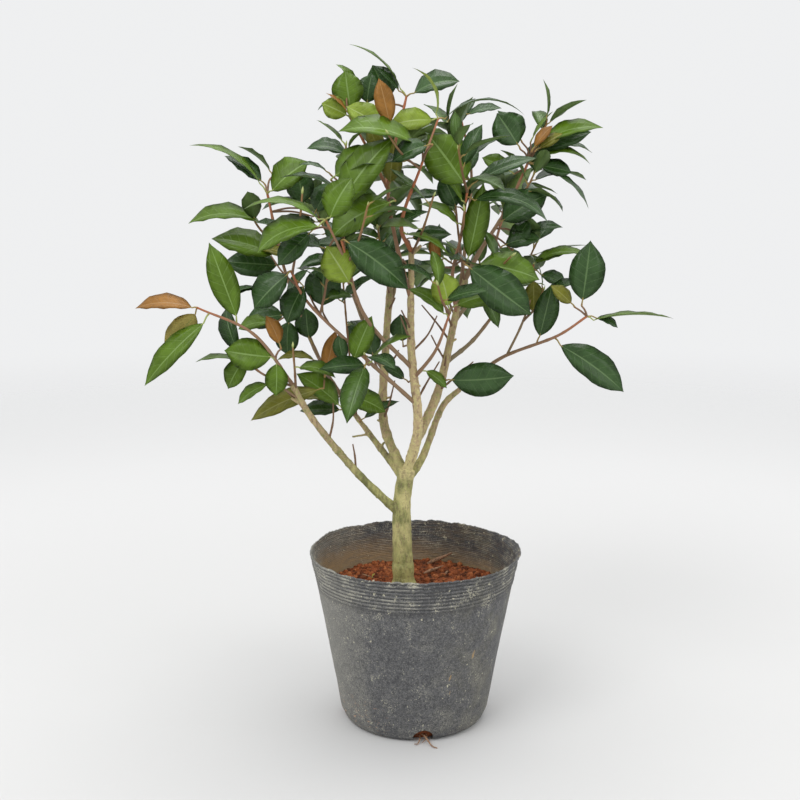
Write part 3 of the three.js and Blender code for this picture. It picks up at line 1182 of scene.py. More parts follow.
def grow_tubes(tubes: Shaper, strands: Strands, name: str, sides: int,
               finish: Material) -> Object:
    """Turns collected paths into one piece of tubes with so many sides, in a finish."""
    source = mesh_object(f"{name}_paths", strands.points, edges=strands.edges,
                         numbers={"thick": strands.thick, "tone": strands.tone})
    return tubes.run(source, name, {"Sides": sides, "Finish": finish})


# ---- the wood


@dataclass(frozen=True)
class Limb:
    """One tapering limb, in millimetres: where it leaves its parent, its bends, its tip and radii."""

    name: str
    parent: str
    at: float
    bends: tuple
    tip: tuple
    foot: float
    end: float
    tone: float  # 0 is green and old, 1 is tan on a bough and red on a shoot


TRUNK_PATH = ((-11, 0, 136.3), (-13, 0, 192), (-13, 2, 235), (-8, 2, 268))
TRUNK_RADII = (11.4, 8.6)
TRUNK_FLARE = 4.2
TRUNK_FLARE_HEIGHT = 9.0

BOUGHS = (
    Limb("bough_middle", "trunk", 0.96, ((3, -12, 313), (-4, -22, 400)),
         (-4, -28, 496), 5.7, 2.8, 0.85),
    Limb("bough_left_leader", "trunk", 0.94, ((-32, 24, 311), (-31, 44, 381)),
         (-26, 60, 455), 5.4, 3.4, 0.35),
    Limb("bough_right_leader", "bough_middle", 0.17, ((24, 14, 347), (45, 30, 436)),
         (53, 34, 464), 5.2, 3.2, 0.4),
    Limb("bough_low_left", "trunk", 0.62, ((-61, -14, 270), (-107, -36, 335)),
         (-122, -45, 366), 4.6, 3.0, 0.15),
    Limb("bough_left_back", "trunk", 0.9, ((-28, 16, 277), (-42, 30, 292)),
         (-63, 45, 317), 4.2, 2.7, 0.15),
    Limb("bough_low_right", "trunk", 0.86, ((8, 22, 275), (32, 42, 330)), (49, 44, 346), 4.4, 3.0, 0.1),
)

SHOOTS = (
    Limb("shoot_left_riser", "bough_left_back", 1, ((-96, 30, 372), (-132, 4, 474)),
         (-147, -10, 552), 2.5, 1.2, 0.35),
    Limb("shoot_left_sprig", "bough_low_left", 1, ((-157, -66, 419),), (-207, -84, 446), 2.0, 1.0, 0.5),
    Limb("shoot_slant", "bough_middle", 0.34, ((-62, -44, 404), (-108, -56, 453)),
         (-120, -60, 479), 2.3, 1.2, 0.4),
    Limb("shoot_high_slant", "bough_middle", 0.5, ((-50, -60, 437),), (-70, -84, 509), 2.4, 1.2, 0.4),
    Limb("shoot_back_riser", "bough_left_leader", 0.82, ((-18, 88, 480),),
         (-32, 110, 583), 2.3, 1.3, 0.3),
    Limb("shoot_back_left", "bough_left_leader", 0.55, ((-62, 92, 430),),
         (-92, 128, 510), 2.4, 1.3, 0.3),
    Limb("shoot_top_left", "bough_middle", 0.8, ((-20, -36, 510), (-27, -20, 560)),
         (-9, -6, 646), 2.3, 1.2, 0.6),
    Limb("shoot_front", "bough_middle", 0.46, ((20, -44, 400),), (33, -66, 440), 2.0, 1.1, 0.5),
    Limb("shoot_right_fork", "bough_right_leader", 0.5, ((62, 46, 398),), (91, 70, 430), 2.6, 1.5, 0.2),
    Limb("shoot_right_riser", "bough_right_leader", 1, ((66, 40, 489), (96, 48, 536)),
         (118, 50, 584), 2.6, 1.2, 0.4),
    Limb("shoot_top_riser", "bough_right_leader", 0.86, ((56, 56, 520), (60, 66, 577)),
         (47, 60, 635), 2.2, 1.1, 0.4),
    Limb("shoot_bud_riser", "bough_right_leader", 0.8, ((38, 0, 472), (45, -24, 511)),
         (50, -40, 556), 2.1, 1.1, 0.6),
    Limb("shoot_back_right", "bough_right_leader", 0.74, ((76, 84, 462),),
         (100, 124, 530), 2.4, 1.3, 0.3),
    Limb("shoot_right_sprig", "bough_low_right", 1, ((90, 30, 381), (148, 0, 410)),
         (174, -10, 430), 2.2, 1.2, 0.45),
)

TWIGS = (
    Limb("twig_shoulder", "shoot_high_slant", 0.95, (), (-71, -50, 552), 1.5, 1.0, 0.5),
    Limb("twig_shoulder_left", "shoot_high_slant", 0.85, (), (-84, -92, 528), 1.5, 1.0, 0.5),
    Limb("twig_cluster", "shoot_top_left", 0.55, ((-46, -28, 594),), (-62, -38, 622), 1.7, 1.1, 0.7),
    Limb("twig_centre_riser", "bough_middle", 1, ((-14, -44, 520),), (6, -72, 582), 2.2, 1.1, 0.8),
    Limb("twig_high", "twig_centre_riser", 0.9, (), (21, -50, 622), 1.2, 0.9, 0.6),
    Limb("twig_right_low", "shoot_right_sprig", 0.4, ((112, 20, 420), (122, 28, 450)),
         (124, 34, 480), 1.4, 0.9, 0.3),
    Limb("twig_low_left", "bough_low_left", 0.9, ((-134, -52, 366),), (-162, -60, 388), 1.2, 0.7, 0.4),
)


@dataclass
class Wood:
    """The trunk, boughs and shoots."""

    tubes: Shaper
    courses: dict[str, Course] = field(default_factory=dict)
    tones: dict[str, float] = field(default_factory=dict)
    voxel: float = 0.8 * MM
    knot_spacing: float = 21 * MM
    green_foot: float = 0.14  # where the trunk is greenest
    green_height: float = 0.06
    seed: int = 11

    def __post_init__(self) -> None:
        """Lays out every course."""
        trunk = [Vector(point) * MM for point in TRUNK_PATH]
        self.courses["trunk"] = Course(trunk, TRUNK_RADII[0] * MM, TRUNK_RADII[1] * MM)
        self.tones["trunk"] = 0.5
        for limb in BOUGHS + SHOOTS + TWIGS:
            start = self.courses[limb.parent].at(limb.at)
            points = [start, *(Vector(bend) * MM for bend in limb.bends), Vector(limb.tip) * MM]
            self.courses[limb.name] = Course(points, limb.foot * MM, limb.end * MM)
            self.tones[limb.name] = limb.tone

    def radii(self, name: str, strength: float) -> list[float]:
        """The radius at each point of a course, with its knots and unevenness.

        Args:
            name: the course.
            strength: how far the knots stand out, as a share of the radius.

        Returns:
            The radii.
        """
        course = self.courses[name]
        count = len(course.points)
        offset = (sum(map(ord, name)) % 17) / 17
        result = []
        for number, point in enumerate(course.points):
            share = number / (count - 1)
            radius = course.radius(share)
            if name == "trunk":
                drop = course.length * share / (TRUNK_FLARE_HEIGHT * MM)
                radius += TRUNK_FLARE * MM * math.exp(-drop)
            knot = (course.length * share / self.knot_spacing + offset) % 1.0
            swelling = math.exp(-((knot - 0.5) / 0.09) ** 2)
            uneven = noise.noise(point * 90.0) * 0.10
            result.append(radius * (1 + swelling * strength + uneven))
        return result

    def build_frame(self) -> None:
        """Builds the trunk and main boughs as one skin with the bark's relief."""
        names = ["trunk", *(limb.name for limb in BOUGHS)]
        strands = Strands()
        for name in names:
            course = self.courses[name]
            strands.add(course.points, self.radii(name, 0.05 if name == "trunk" else 0.13),
                        [self.tones[name]] * len(course.points))
        for points, thick in self.stubs():
            strands.add(points, thick, [0.3] * len(points))
        rods = grow_tubes(self.tubes, strands, "rods", 20, None)
        remesh = rods.modifiers.new("one skin", "REMESH")
        remesh.mode = "VOXEL"
        remesh.voxel_size = self.voxel
        soften = rods.modifiers.new("soft forks", "SMOOTH")
        soften.factor = 0.5
        soften.iterations = 5
        skin = plain_copy(rods, "skin")
        self._cut_level(skin)
        self._add_tones(skin, names)
        piece = bark_tree().run(skin, "trunk_and_boughs", {
            "Relief": 0.45 * MM, "Finish": Bark().material()})
        place_piece(piece, "bark", *names)

    def stubs(self) -> list[tuple[list[Vector], list[float]]]:
        """Pruned and snapped stubs on the boughs: each a short path and its radii."""
        plans = (
            ("bough_middle", 0.99, (0.2, 0.3, 1.0), 4, 2.2),
            ("bough_middle", 0.985, (0.9, 0.1, 0.9), 11, 2.0),
            ("bough_low_left", 0.48, (-0.4, -0.3, 0.9), 6, 1.5),
            ("bough_low_left", 0.86, (-0.8, -0.3, 0.6), 13, 1.9),
            ("bough_left_back", 0.72, (-0.9, -0.2, -0.1), 16, 1.4),
            ("bough_left_back", 0.5, (0.5, -0.2, 0.8), 5, 1.6),
            ("bough_right_leader", 0.62, (0.7, -0.5, 0.5), 6, 1.6),
            ("bough_left_leader", 0.42, (0.9, -0.4, 0.3), 5, 1.5),
            ("bough_low_right", 0.93, (0.75, -0.1, 0.65), 14, 2.2),
            ("bough_left_leader", 0.3, (-0.8, -0.5, 0.4), 4, 1.6),
            ("trunk", 0.68, (-0.9, -0.35, -0.1), 1, 4.5), ("bough_middle", 0.42, (0.6, -0.7, 0.3), 4, 1.7))
        made = []
        for name, at, way, length, thick in plans:
            start = self.courses[name].at(at)
            end = start + Vector(way).normalized() * (self.courses[name].radius(at) + length * MM)
            radii = [thick * share * MM for share in (1.0, 0.9, 0.8)]
            made.append(([start, start.lerp(end, 0.5), end], radii))
        return made

    @staticmethod
    def _cut_level(skin: Object) -> None:
        """Cuts the trunk's foot level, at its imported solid's foot."""
        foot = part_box("trunk")[0][2]
        shell = bmesh.new()
        shell.from_mesh(skin.data)
        everything = list(shell.verts) + list(shell.edges) + list(shell.faces)
        bmesh.ops.bisect_plane(shell, geom=everything, plane_co=(0, 0, foot), plane_no=(0, 0, -1),
                               clear_outer=True)
        rim = [edge for edge in shell.edges if edge.is_boundary]
        bmesh.ops.contextual_create(shell, geom=rim)
        bmesh.ops.triangulate(shell, faces=[face for face in shell.faces if len(face.verts) > 4])
        bmesh.ops.recalc_face_normals(shell, faces=shell.faces)
        shell.to_mesh(skin.data)
        shell.free()

    def _add_tones(self, skin: Object, names: Sequence[str]) -> None:
        """Gives each point of the skin the tone of the courses near it.

        Args:
            skin: the joined skin.
            names: the courses that it was made from.
        """
        places = []
        for name in names:
            points = self.courses[name].points
            fade = 0.5 if name == "bough_middle" else 0.0
            places += [(point, self.tones[name] * (1 - fade * number / len(points)))
                       for number, point in enumerate(points)]
        tree = KDTree(len(places))
        for number, (point, _) in enumerate(places):
            tree.insert(point, number)
        tree.balance()
        tones = []
        for vertex in skin.data.vertices:
            near = tree.find_n(vertex.co, 4)
            tone = sum(places[number][1] for _, number, _ in near) / len(near)
            low = max(0.0, 1.0 - (vertex.co.z - self.green_foot) / self.green_height) * 0.35
            tones.append(tone - low)
        mark_points(skin.data, "tone", tones)

    def shoot_strands(self) -> Strands:
        """The paths of the shoots, redder towards their tips."""
        strands = Strands()
        for limb in SHOOTS + TWIGS:
            course = self.courses[limb.name]
            count = len(course.points)
            tone = [limb.tone + (1.0 - limb.tone) * (step / count) ** 3 * 0.85 for step in range(count)]
            strands.add(course.points, self.radii(limb.name, 0.16), tone)
        return strands

    def nearest_share(self, place: Vector, name: str) -> float:
        """The share of a course's length that is nearest to a place.

        Args:
            place: the place.
            name: the course.

        Returns:
            The share.
        """
        points = self.courses[name].points
        return min(range(len(points)), key=lambda number: (points[number] - place).length) / (len(points) - 1)


LEVEL_FOOT = (0.1415, 0.146)  # the heights between which the bark's relief starts over the level foot


def bark_tree() -> Shaper:
    """The tree that gives a skin the long ridges and small warts of bark."""
    shaper = Shaper("bark relief", {"Relief": float, "Finish": Material})
    position = shaper.position()
    squeezed = shaper.wire("ShaderNodeVectorMath", {"operation": "MULTIPLY"},
                           {0: position, 1: (1.0, 1.0, 0.3)}, is_vector=True)
    ridges = shaper.noise(squeezed, 380.0, 3.0, 0.6) - 0.5
    warts = shaper.noise(position, 210.0, 1.0, 0.5).band(0.62, 0.75)
    free = shaper.split(position)[2].band(*LEVEL_FOOT)
    offset = shaper.normal() * ((ridges * 2.0 + warts) * shaper.size("Relief") * free)
    return shaper.dress(shaper.moved(shaper.size("Geometry"), Offset=offset))


# ---- leaves


class Tint(Enum):
    """The kinds of leaf by colour, with their finishes."""

    DARK = LeafSkin("dark", (0.025, 0.064, 0.012), (0.085, 0.140, 0.034), (0.085, 0.160, 0.045), 0.27)
    DEEP = LeafSkin("deep", (0.046, 0.098, 0.009), (0.100, 0.165, 0.038), (0.120, 0.210, 0.050), 0.29)
    GREEN = LeafSkin("green", (0.074, 0.140, 0.003), (0.125, 0.195, 0.040), (0.180, 0.290, 0.060), 0.37)
    LIME = LeafSkin("lime", (0.195, 0.275, 0.022), (0.240, 0.310, 0.055), (0.340, 0.440, 0.120), 0.40)
    OLIVE = LeafSkin("olive", (0.150, 0.150, 0.012), (0.300, 0.250, 0.060), (0.300, 0.300, 0.070), 0.40)
    BRONZE = LeafSkin("bronze", (0.250, 0.110, 0.014), (0.300, 0.165, 0.045), (0.360, 0.190, 0.055), 0.42)


@dataclass
class Leaf:
    """One leaf: where its blade starts, which way it runs, where its upper side looks, and its shape."""

    base: Vector
    axis: Vector
    face: Vector
    length: float
    width: float
    tint: Tint
    arch: float
    fold: float
    twist: float
    sweep: float
    curl: float
    mesh: str = "spray"  # how finely it is drawn, a key of LEAF_MESHES


@dataclass(frozen=True)
class LeafPlan:
    """A leaf with a set place: on a limb, moved off it by an offset, at an angle in the front view.

    Sizes are in millimetres. The angle is in degrees, anticlockwise from the right. Roll turns the upper
    side from up (0) to the front (90). Arch is how far the midrib bends, in radians.
    """

    limb: str
    at: float
    offset: tuple
    angle: float
    length: float
    width: float
    roll: float
    tint: Tint
    arch: float


@dataclass(frozen=True)
class Spray:
    """A twig with leaves that grows on from a limb into one mass of the crown."""

    mass: str
    limb: str
    leaves: int
    tints: tuple
    seed: int
    shift: tuple = (0.0, 0.0, 0.0)  # from the mass's middle, in millimetres


# Points along and across a blade, and how strongly the ones across it gather at its midrib.
LEAF_MESHES = {
    "placed": {"Rows": 16, "Columns": 6, "Gather": 1.9},
    "spray": {"Rows": 9, "Columns": 4, "Gather": 2.8},
}

# How wide a blade is at each share of its length.
LEAF_OUTLINE = ((0.0, 0.0), (0.04, 0.20), (0.14, 0.58), (0.28, 0.87), (0.44, 1.0), (0.60, 0.95), (0.75, 0.73),
                (0.87, 0.38), (0.94, 0.15), (1.0, 0.0))


def leaf_tree() -> Shaper:
    """The tree that bends one flat blade into every leaf of a kind and joins them."""
    shaper = Shaper("camellia leaves", {"Rows": int, "Columns": int, "Gather": float,
                                        "Thickness": float, "Upper": Material,
                                        "Under": Material, "Rib": Material})
    grid = shaper.wire("GeometryNodeMeshGrid", {}, {
        "Size X": 1.0, "Size Y": 2.0, "Vertices X": shaper.size("Rows"),
        "Vertices Y": shaper.size("Columns")})
    x, y, _ = shaper.split(shaper.position())
    along = (x * math.pi * 0.94).sine() / (2 * math.sin(math.pi * 0.47)) + 0.5
    marked = shaper.store(grid, "leaf_u", along)
    spread = shaper.maths("SIGN", y) * y.size() ** shaper.size("Gather")
    marked = shaper.store(marked, "leaf_v", spread)
    top = shaper.store(marked, "leaf_top", 1.0)
    bottom = shaper.store(marked, "leaf_top", 0.0)
    bottom = shaper.wire("GeometryNodeFlipFaces", {}, {"Mesh": bottom})
    blade = shaper.node("GeometryNodeJoinGeometry")
    for sheet in (bottom, top):
        shaper.feed(blade.inputs[0], sheet)
    placed = shaper.wire("GeometryNodeInstanceOnPoints", {}, {"Points": shaper.size("Geometry"),
                                                              "Instance": blade.outputs[0]})
    moved = shaper.moved(shaper.realized(placed), Position=blade_position(shaper))
    rib = shaper.read("leaf_v").size() < 0.02
    under = shaper.read("leaf_top") < 0.5
    leafy = shaper.painted(moved, shaper.size("Upper"))
    leafy = shaper.painted(leafy, shaper.size("Under"), under)
    leafy = shaper.painted(leafy, shaper.size("Rib"), rib)
    merged = shaper.wire("GeometryNodeMergeByDistance", {}, {"Geometry": leafy, "Distance": 0.02 * MM})
    return shaper.close(shaper.smooth(merged))


def blade_position(shaper: Shaper) -> Wire:
    """Where each point of a blade goes.

    Args:
        shaper: the leaf tree.

    Returns:
        The position, worked out from the leaf's own attributes.
    """
    u, v = shaper.read("leaf_u"), shaper.read("leaf_v")
    out = v.size()
    share = shaper.wire("ShaderNodeFloatCurve", {"handles": LEAF_OUTLINE}, {"Value": u})
    half = shaper.read("width") * 0.5 * share
    arch, reach = shaper.read("arch"), shaper.read("reach")
    start = arch * 0.5
    angle = start - arch * u
    sine, cosine = angle.sine(), angle.cosine()
    along = reach * (start.sine() - sine) / arch
    rise = reach * (cosine - start.cosine()) / arch
    fold = shaper.read("fold")
    ripple = (u * 21.0 + shaper.read("seed") * 40.0 + v * 1.5).sine() * out ** 2.0 * 0.07
    flat = v * half * fold.cosine()
    high = half * (out * fold.sine() - out ** 2.0 * shaper.read("curl") + ripple)
    high = high - (1.0 - shaper.read("leaf_top")) * shaper.size("Thickness") * (1.0 - out) * share
    twist = shaper.read("twist") * (u - 0.5)
    turn_sine, turn_cosine = twist.sine(), twist.cosine()
    sideways = flat * turn_cosine - high * turn_sine + shaper.read("sweep") * reach * u * (1.0 - u)
    upward = flat * turn_sine + high * turn_cosine
    axis, face = shaper.read("axis", True), shaper.read("face", True)
    side = shaper.maths("CROSS_PRODUCT", face, axis)
    return (shaper.read("base", True) + axis * (along - upward * sine) + side * sideways
            + face * (rise + upward * cosine))


@dataclass
class Crown:
    """The twigs, leaves, petioles and buds that stand for the masses of the crown."""

    wood: Wood
    sprays: Sequence[Spray]
    plans: Sequence[LeafPlan]
    bare: Sequence[tuple[str, int]] = (  # limbs and how many leafless twigs each has
        ("bough_middle", 7), ("bough_right_leader", 7), ("bough_left_leader", 5), ("bough_low_left", 3),
        ("shoot_slant", 3))
    leaves: list[Leaf] = field(default_factory=list)
    twigs: Strands = field(default_factory=Strands)
    petioles: Strands = field(default_factory=Strands)
    buds: Strands = field(default_factory=Strands)
    _skins: dict[Tint, dict[str, Material]] = field(default_factory=dict)
    petiole_length: float = 6 * MM
    longest_petiole: float = 15 * MM
    margin: float = 12 * MM  # how far a tip may stand out of its mass
    headroom: float = 0.0  # how far a tip may stand above its mass
    planned_fold: float = 0.3  # of a planned leaf about its midrib, in radians
    leaf_length: float = 68 * MM  # of a spray's leaf, on average
    clear_share: float = 0.36  # of a planned leaf, kept clear of spray leaves in front of its middle

    def grow(self) -> None:
        """Grows every spray and every planned leaf."""
        for plan in self.plans:
            self._planned(plan)
        for spray in self.sprays:
            self._spray(spray)
        for seed, (limb, count) in enumerate(self.bare):
            self._bare_twigs(limb, count, seed)

    def _bare_twigs(self, limb: str, count: int, seed: int) -> None:
        """Grows thin leafless twigs from an old limb.

        Args:
            limb: the limb's name.
            count: how many.
            seed: the seed of their places.
        """
        chance = random.Random(seed * 31 + 5)
        course = self.wood.courses[limb]
        for number in range(count):
            share = 0.3 + 0.65 * (number + chance.random()) / count
            start, heading = course.at(share), course.heading(share)
            out = Matrix.Rotation(chance.uniform(0, 2 * math.pi), 3, heading) @ across(heading)
            out.z = abs(out.z)
            length = chance.uniform(20, 56) * MM
            bend = start + (heading * 0.6 + out * 0.7) * length * 0.5
            end = bend + (heading * 0.5 + out * chance.uniform(0.35, 0.9) + UP * 0.2) * length * 0.5
            twig = Course([start, bend, end], 1.3 * MM, 0.6 * MM)
            self.twigs.add_course(twig, 0.4, 0.4, 0.2, 4)

    def _attach(self, leaf: Leaf, joint: Vector) -> None:
        """Adds a leaf with its petiole.

        Args:
            leaf: the leaf.
            joint: the point on the twig that it grows from.
        """
        self.leaves.append(leaf)
        way = leaf.base - joint
        sag = UP * way.length * 0.12
        inside = leaf.base + self._start_way(leaf) * 3 * MM
        points = [joint, joint + way * 0.5 + sag, leaf.base, inside]
        tone = 0.85 if leaf.tint in (Tint.LIME, Tint.GREEN) else 0.45
        self.petioles.add(points, [1.05 * MM, 0.8 * MM, 0.75 * MM, 0.35 * MM], [tone * 0.6, tone, tone, tone])

    @staticmethod
    def _start_way(leaf: Leaf) -> Vector:
        """The direction in which a leaf's midrib leaves its foot."""
        half = leaf.arch / 2
        return (leaf.axis * math.cos(half) + leaf.face * math.sin(half)).normalized()

    def _planned(self, plan: LeafPlan) -> None:
        """Adds one planned leaf, on a twig of its own where it stands well off its limb."""
        course = self.wood.courses[plan.limb]
        joint = course.at(plan.at)
        angle = math.radians(plan.angle)
        axis = Vector((math.cos(angle), 0.0, math.sin(angle)))
        upright = UP - axis * UP.dot(axis)
        if upright.length < 0.25:
            upright = FRONT - axis * FRONT.dot(axis)
        facing = (FRONT - axis * FRONT.dot(axis)).normalized()
        roll = math.radians(plan.roll)
        face = upright.normalized() * math.cos(roll) + facing * math.sin(roll)
        face = (face - axis * face.dot(axis)).normalized()
        foot = joint + Vector(plan.offset) * MM + axis * self.petiole_length * 0.8
        chance = random.Random(plan.angle * 7 + plan.length * 13 + plan.width)
        leaf = Leaf(foot, axis, face, plan.length * MM, plan.width * MM, plan.tint, plan.arch,
                    self.planned_fold, chance.uniform(-0.3, 0.3), chance.uniform(-0.12, 0.12),
                    chance.uniform(0.02, 0.14), "placed")
        if (foot - joint).length > self.longest_petiole:
            end = foot - self._start_way(leaf) * self.petiole_length
            joint = self._twig(joint, course.heading(plan.at), end)
        self._attach(leaf, joint)

    def _twig(self, start: Vector, heading: Vector, end: Vector) -> Vector:
        """Grows a thin twig that leaves its limb forwards.

        Args:
            start: where it starts.
            heading: the limb's direction there.
            end: where it ends.

        Returns:
            Its end.
        """
        reach = (end - start).length
        forward = max(0.0, heading.dot((end - start).normalized()))
        bend = start.lerp(end, 0.5 - 0.2 * forward) + (heading * 0.3 * forward + UP * 0.05) * reach
        twig = Course([start, bend, end], 1.15 * MM, 0.8 * MM)
        self.twigs.add_course(twig, 0.3, 0.8)
        return end

    def _spray(self, spray: Spray) -> None:
        """Grows one twig into its mass and sets leaves along it by the turn of the spiral."""
        low, high = (Vector(corner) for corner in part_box(f"mass_{spray.mass}"))
        shift = Vector(spray.shift) * MM
        low, high = low + shift, high + shift
        middle, half = (low + high) / 2, (high - low) / 2
        chance = random.Random(spray.seed * 977 + len(spray.mass))
        share = min(self.wood.nearest_share(middle - UP * half.z * 0.7, spray.limb), 0.985)
        start = self.wood.courses[spray.limb].at(share)
        reach = Vector((chance.uniform(-0.3, 0.3) * half.x, chance.uniform(-0.3, 0.3) * half.y, half.z * 0.5))
        tip = middle + reach
        sag = start.lerp(tip, 0.5) + (middle - start).normalized() * 4 * MM - UP * (tip - start).length * 0.07
        twig = Course([start, sag, tip], 1.35 * MM, 0.9 * MM)
        self.twigs.add_course(twig, 0.35, 0.95, 0.18)
        turn = chance.uniform(0, 2 * math.pi)
        for number in range(spray.leaves):
            place = 1.0 - 0.85 * (number / max(1, spray.leaves)) ** 1.35 * min(1.0, 0.05 / twig.length + 0.55)
            turn += GOLDEN_TURN
            self._spiral_leaf(spray, twig, place, turn, number, chance, (low, high))
        self._bud(twig.at(1.0), twig.heading(1.0), chance)

    def _spiral_leaf(self, spray: Spray, twig: Course, place: float, turn: float, number: int,
                     chance: random.Random, box: tuple[Vector, Vector]) -> None:
        """Adds one leaf of a spray.

        Args:
            spray: the spray.
            twig: its twig.
            place: the share of the twig's length.
            turn: the leaf's turn about the twig.
            number: the leaf's number from the tip.
            chance: the spray's random numbers.
            box: the mass's lowest and highest corners.
        """
        joint, heading = twig.at(place), twig.heading(place)
        side = across(heading)
        out = Matrix.Rotation(turn, 3, heading) @ side
        spread = math.radians(chance.uniform(48, 82) if number > 1 else chance.uniform(25, 50))
        axis = heading * math.cos(spread) + out * math.sin(spread) - UP * chance.uniform(0.0, 0.35)
        axis.normalize()
        rough = heading * 0.5 + UP * 0.9 + out * chance.uniform(-0.3, 0.1) + FRONT * 0.15
        face = (rough - axis * rough.dot(axis)).normalized()
        face = Matrix.Rotation(chance.uniform(-0.45, 0.45), 3, axis) @ face
        length = self.leaf_length * chance.uniform(0.72, 1.15)
        base = joint + (axis * 0.75 + heading * 0.25).normalized() * self.petiole_length
        length = self._fitted(base, axis, length, box)
        width = length * chance.uniform(0.40, 0.50)
        tint = chance.choice(spray.tints)
        leaf = Leaf(base, axis, face, length, width, tint, chance.uniform(0.35, 1.05),
                    chance.uniform(0.2, 0.5), chance.uniform(-0.5, 0.5), chance.uniform(-0.1, 0.1),
                    chance.uniform(0.05, 0.2))
        if not self._hides(leaf):
            self._attach(leaf, joint)

    def _hides(self, leaf: Leaf) -> bool:
        """Whether a leaf would stand right in front of a planned one."""
        middle = leaf.base + leaf.axis * leaf.length / 2
        for planned in self.leaves[:len(self.plans)]:
            apart = planned.base + planned.axis * planned.length / 2 - middle
            if apart.y > 0 and math.hypot(apart.x, apart.z) < planned.length * self.clear_share:
                return True
        return False

    def _fitted(self, base: Vector, axis: Vector, length: float, box: tuple[Vector, Vector]) -> float:
        """Shortens a leaf until its tip lies within its mass.

        Args:
            base: the blade's foot.
            axis: its direction.
            length: its length.
            box: the mass's lowest and highest corners.

        Returns:
            The length, at least six tenths of what it was.
        """
        low, high = box
        low = low - Vector((self.margin,) * 3)
        high = high + Vector((self.margin, self.margin, self.headroom))
        for share in (1.0, 0.9, 0.8, 0.7):
            tip = base + axis * length * share
            if all(least <= part <= most for least, part, most in zip(low, tip, high)):
                return length * share
        return length * 0.6

    def _bud(self, place: Vector, heading: Vector, chance: random.Random) -> None:
        """Adds a pointed bud at a twig's tip."""
        size = chance.uniform(0.5, 0.9)
        steps = (-1.0, 0.0, 2.0, 4.5, 7.0, 8.6)
        thick = (0.6, 1.0, 1.55, 1.45, 0.7, 0.1)
        lean = (heading + across(heading) * chance.uniform(-0.2, 0.2)).normalized()
        self.buds.add([place + lean * step * size * MM for step in steps],
                      [part * size * MM for part in thick], [0.3, 0.4, 0.6, 0.8, 0.9, 1.0])

    def build(self) -> None:
        """Builds every piece of the crown."""
        blades = leaf_tree()
        self._skins = {tint: tint.value.materials() for tint in Tint}
        masses = [name for name in frame["nodes"] if name.startswith("mass_")]
        for tint in Tint:
            parts = []
            for mesh in LEAF_MESHES:
                chosen = [leaf for leaf in self.leaves if leaf.tint is tint and leaf.mesh == mesh]
                if chosen:
                    parts.append(self._blades(blades, chosen, tint, mesh))
            place_piece(join(f"{tint.value.name}_leaves", parts), "foliage", *masses)
        self.wood_tips()

    def wood_tips(self) -> None:
        """Builds the shoots, twigs, petioles and buds."""
        shoots = [limb.name for limb in SHOOTS]
        for name, strands, sides, slot, nodes, skin in (
                ("shoots", self.wood.shoot_strands(), 12, "young_bark", shoots,
                 ("shoot bark", (0.210, 0.170, 0.090), (0.270, 0.165, 0.095),
                  (0.400, 0.125, 0.050))),
                ("twigs", self.twigs, 8, "young_bark", (),
                 ("twig bark", (0.130, 0.090, 0.050), (0.200, 0.110, 0.060), (0.260, 0.150, 0.055))),
                ("petioles", self.petioles, 6, "foliage", (),
                 ("petiole skin", (0.300, 0.120, 0.050), (0.300, 0.240, 0.070),
                  (0.330, 0.400, 0.120))),
                ("buds", self.buds, 8, "foliage", (),
                 ("bud scales", (0.160, 0.200, 0.050), (0.330, 0.400, 0.110),
                  (0.500, 0.540, 0.220)))):
            piece = grow_tubes(self.wood.tubes, strands, name, sides, ShootSkin(*skin).material())
            place_piece(piece, slot, *nodes)

    def _blades(self, blades: Shaper, chosen: Sequence[Leaf], tint: Tint, mesh: str) -> Object:
        """Runs the leaf tree on the leaves of one kind.

        Args:
            blades: the leaf tree.
            chosen: the leaves.
            tint: their kind.
            mesh: how finely they are drawn.

        Returns:
            The piece.
        """
        numbers = {label: [getattr(leaf, label) for leaf in chosen]
                   for label in ("base", "axis", "face", "width", "arch", "fold", "twist", "sweep", "curl")}
        numbers["reach"] = [leaf.length * (leaf.arch / 2) / math.sin(leaf.arch / 2) for leaf in chosen]
        numbers["seed"] = [(leaf.base.x * 31.7 + leaf.base.z * 17.3) % 1.0 for leaf in chosen]
        name = tint.value.name
        source = mesh_object(f"{name}_leaf_places", [leaf.base for leaf in chosen], numbers=numbers)
        return blades.run(source, f"{name}_leaves", {
            **LEAF_MESHES[mesh], "Thickness": 0.45 * MM, **self._skins[tint]})


# ---- how the crown is filled

D, E, G, L, O, B = Tint.DARK, Tint.DEEP, Tint.GREEN, Tint.LIME, Tint.OLIVE, Tint.BRONZE

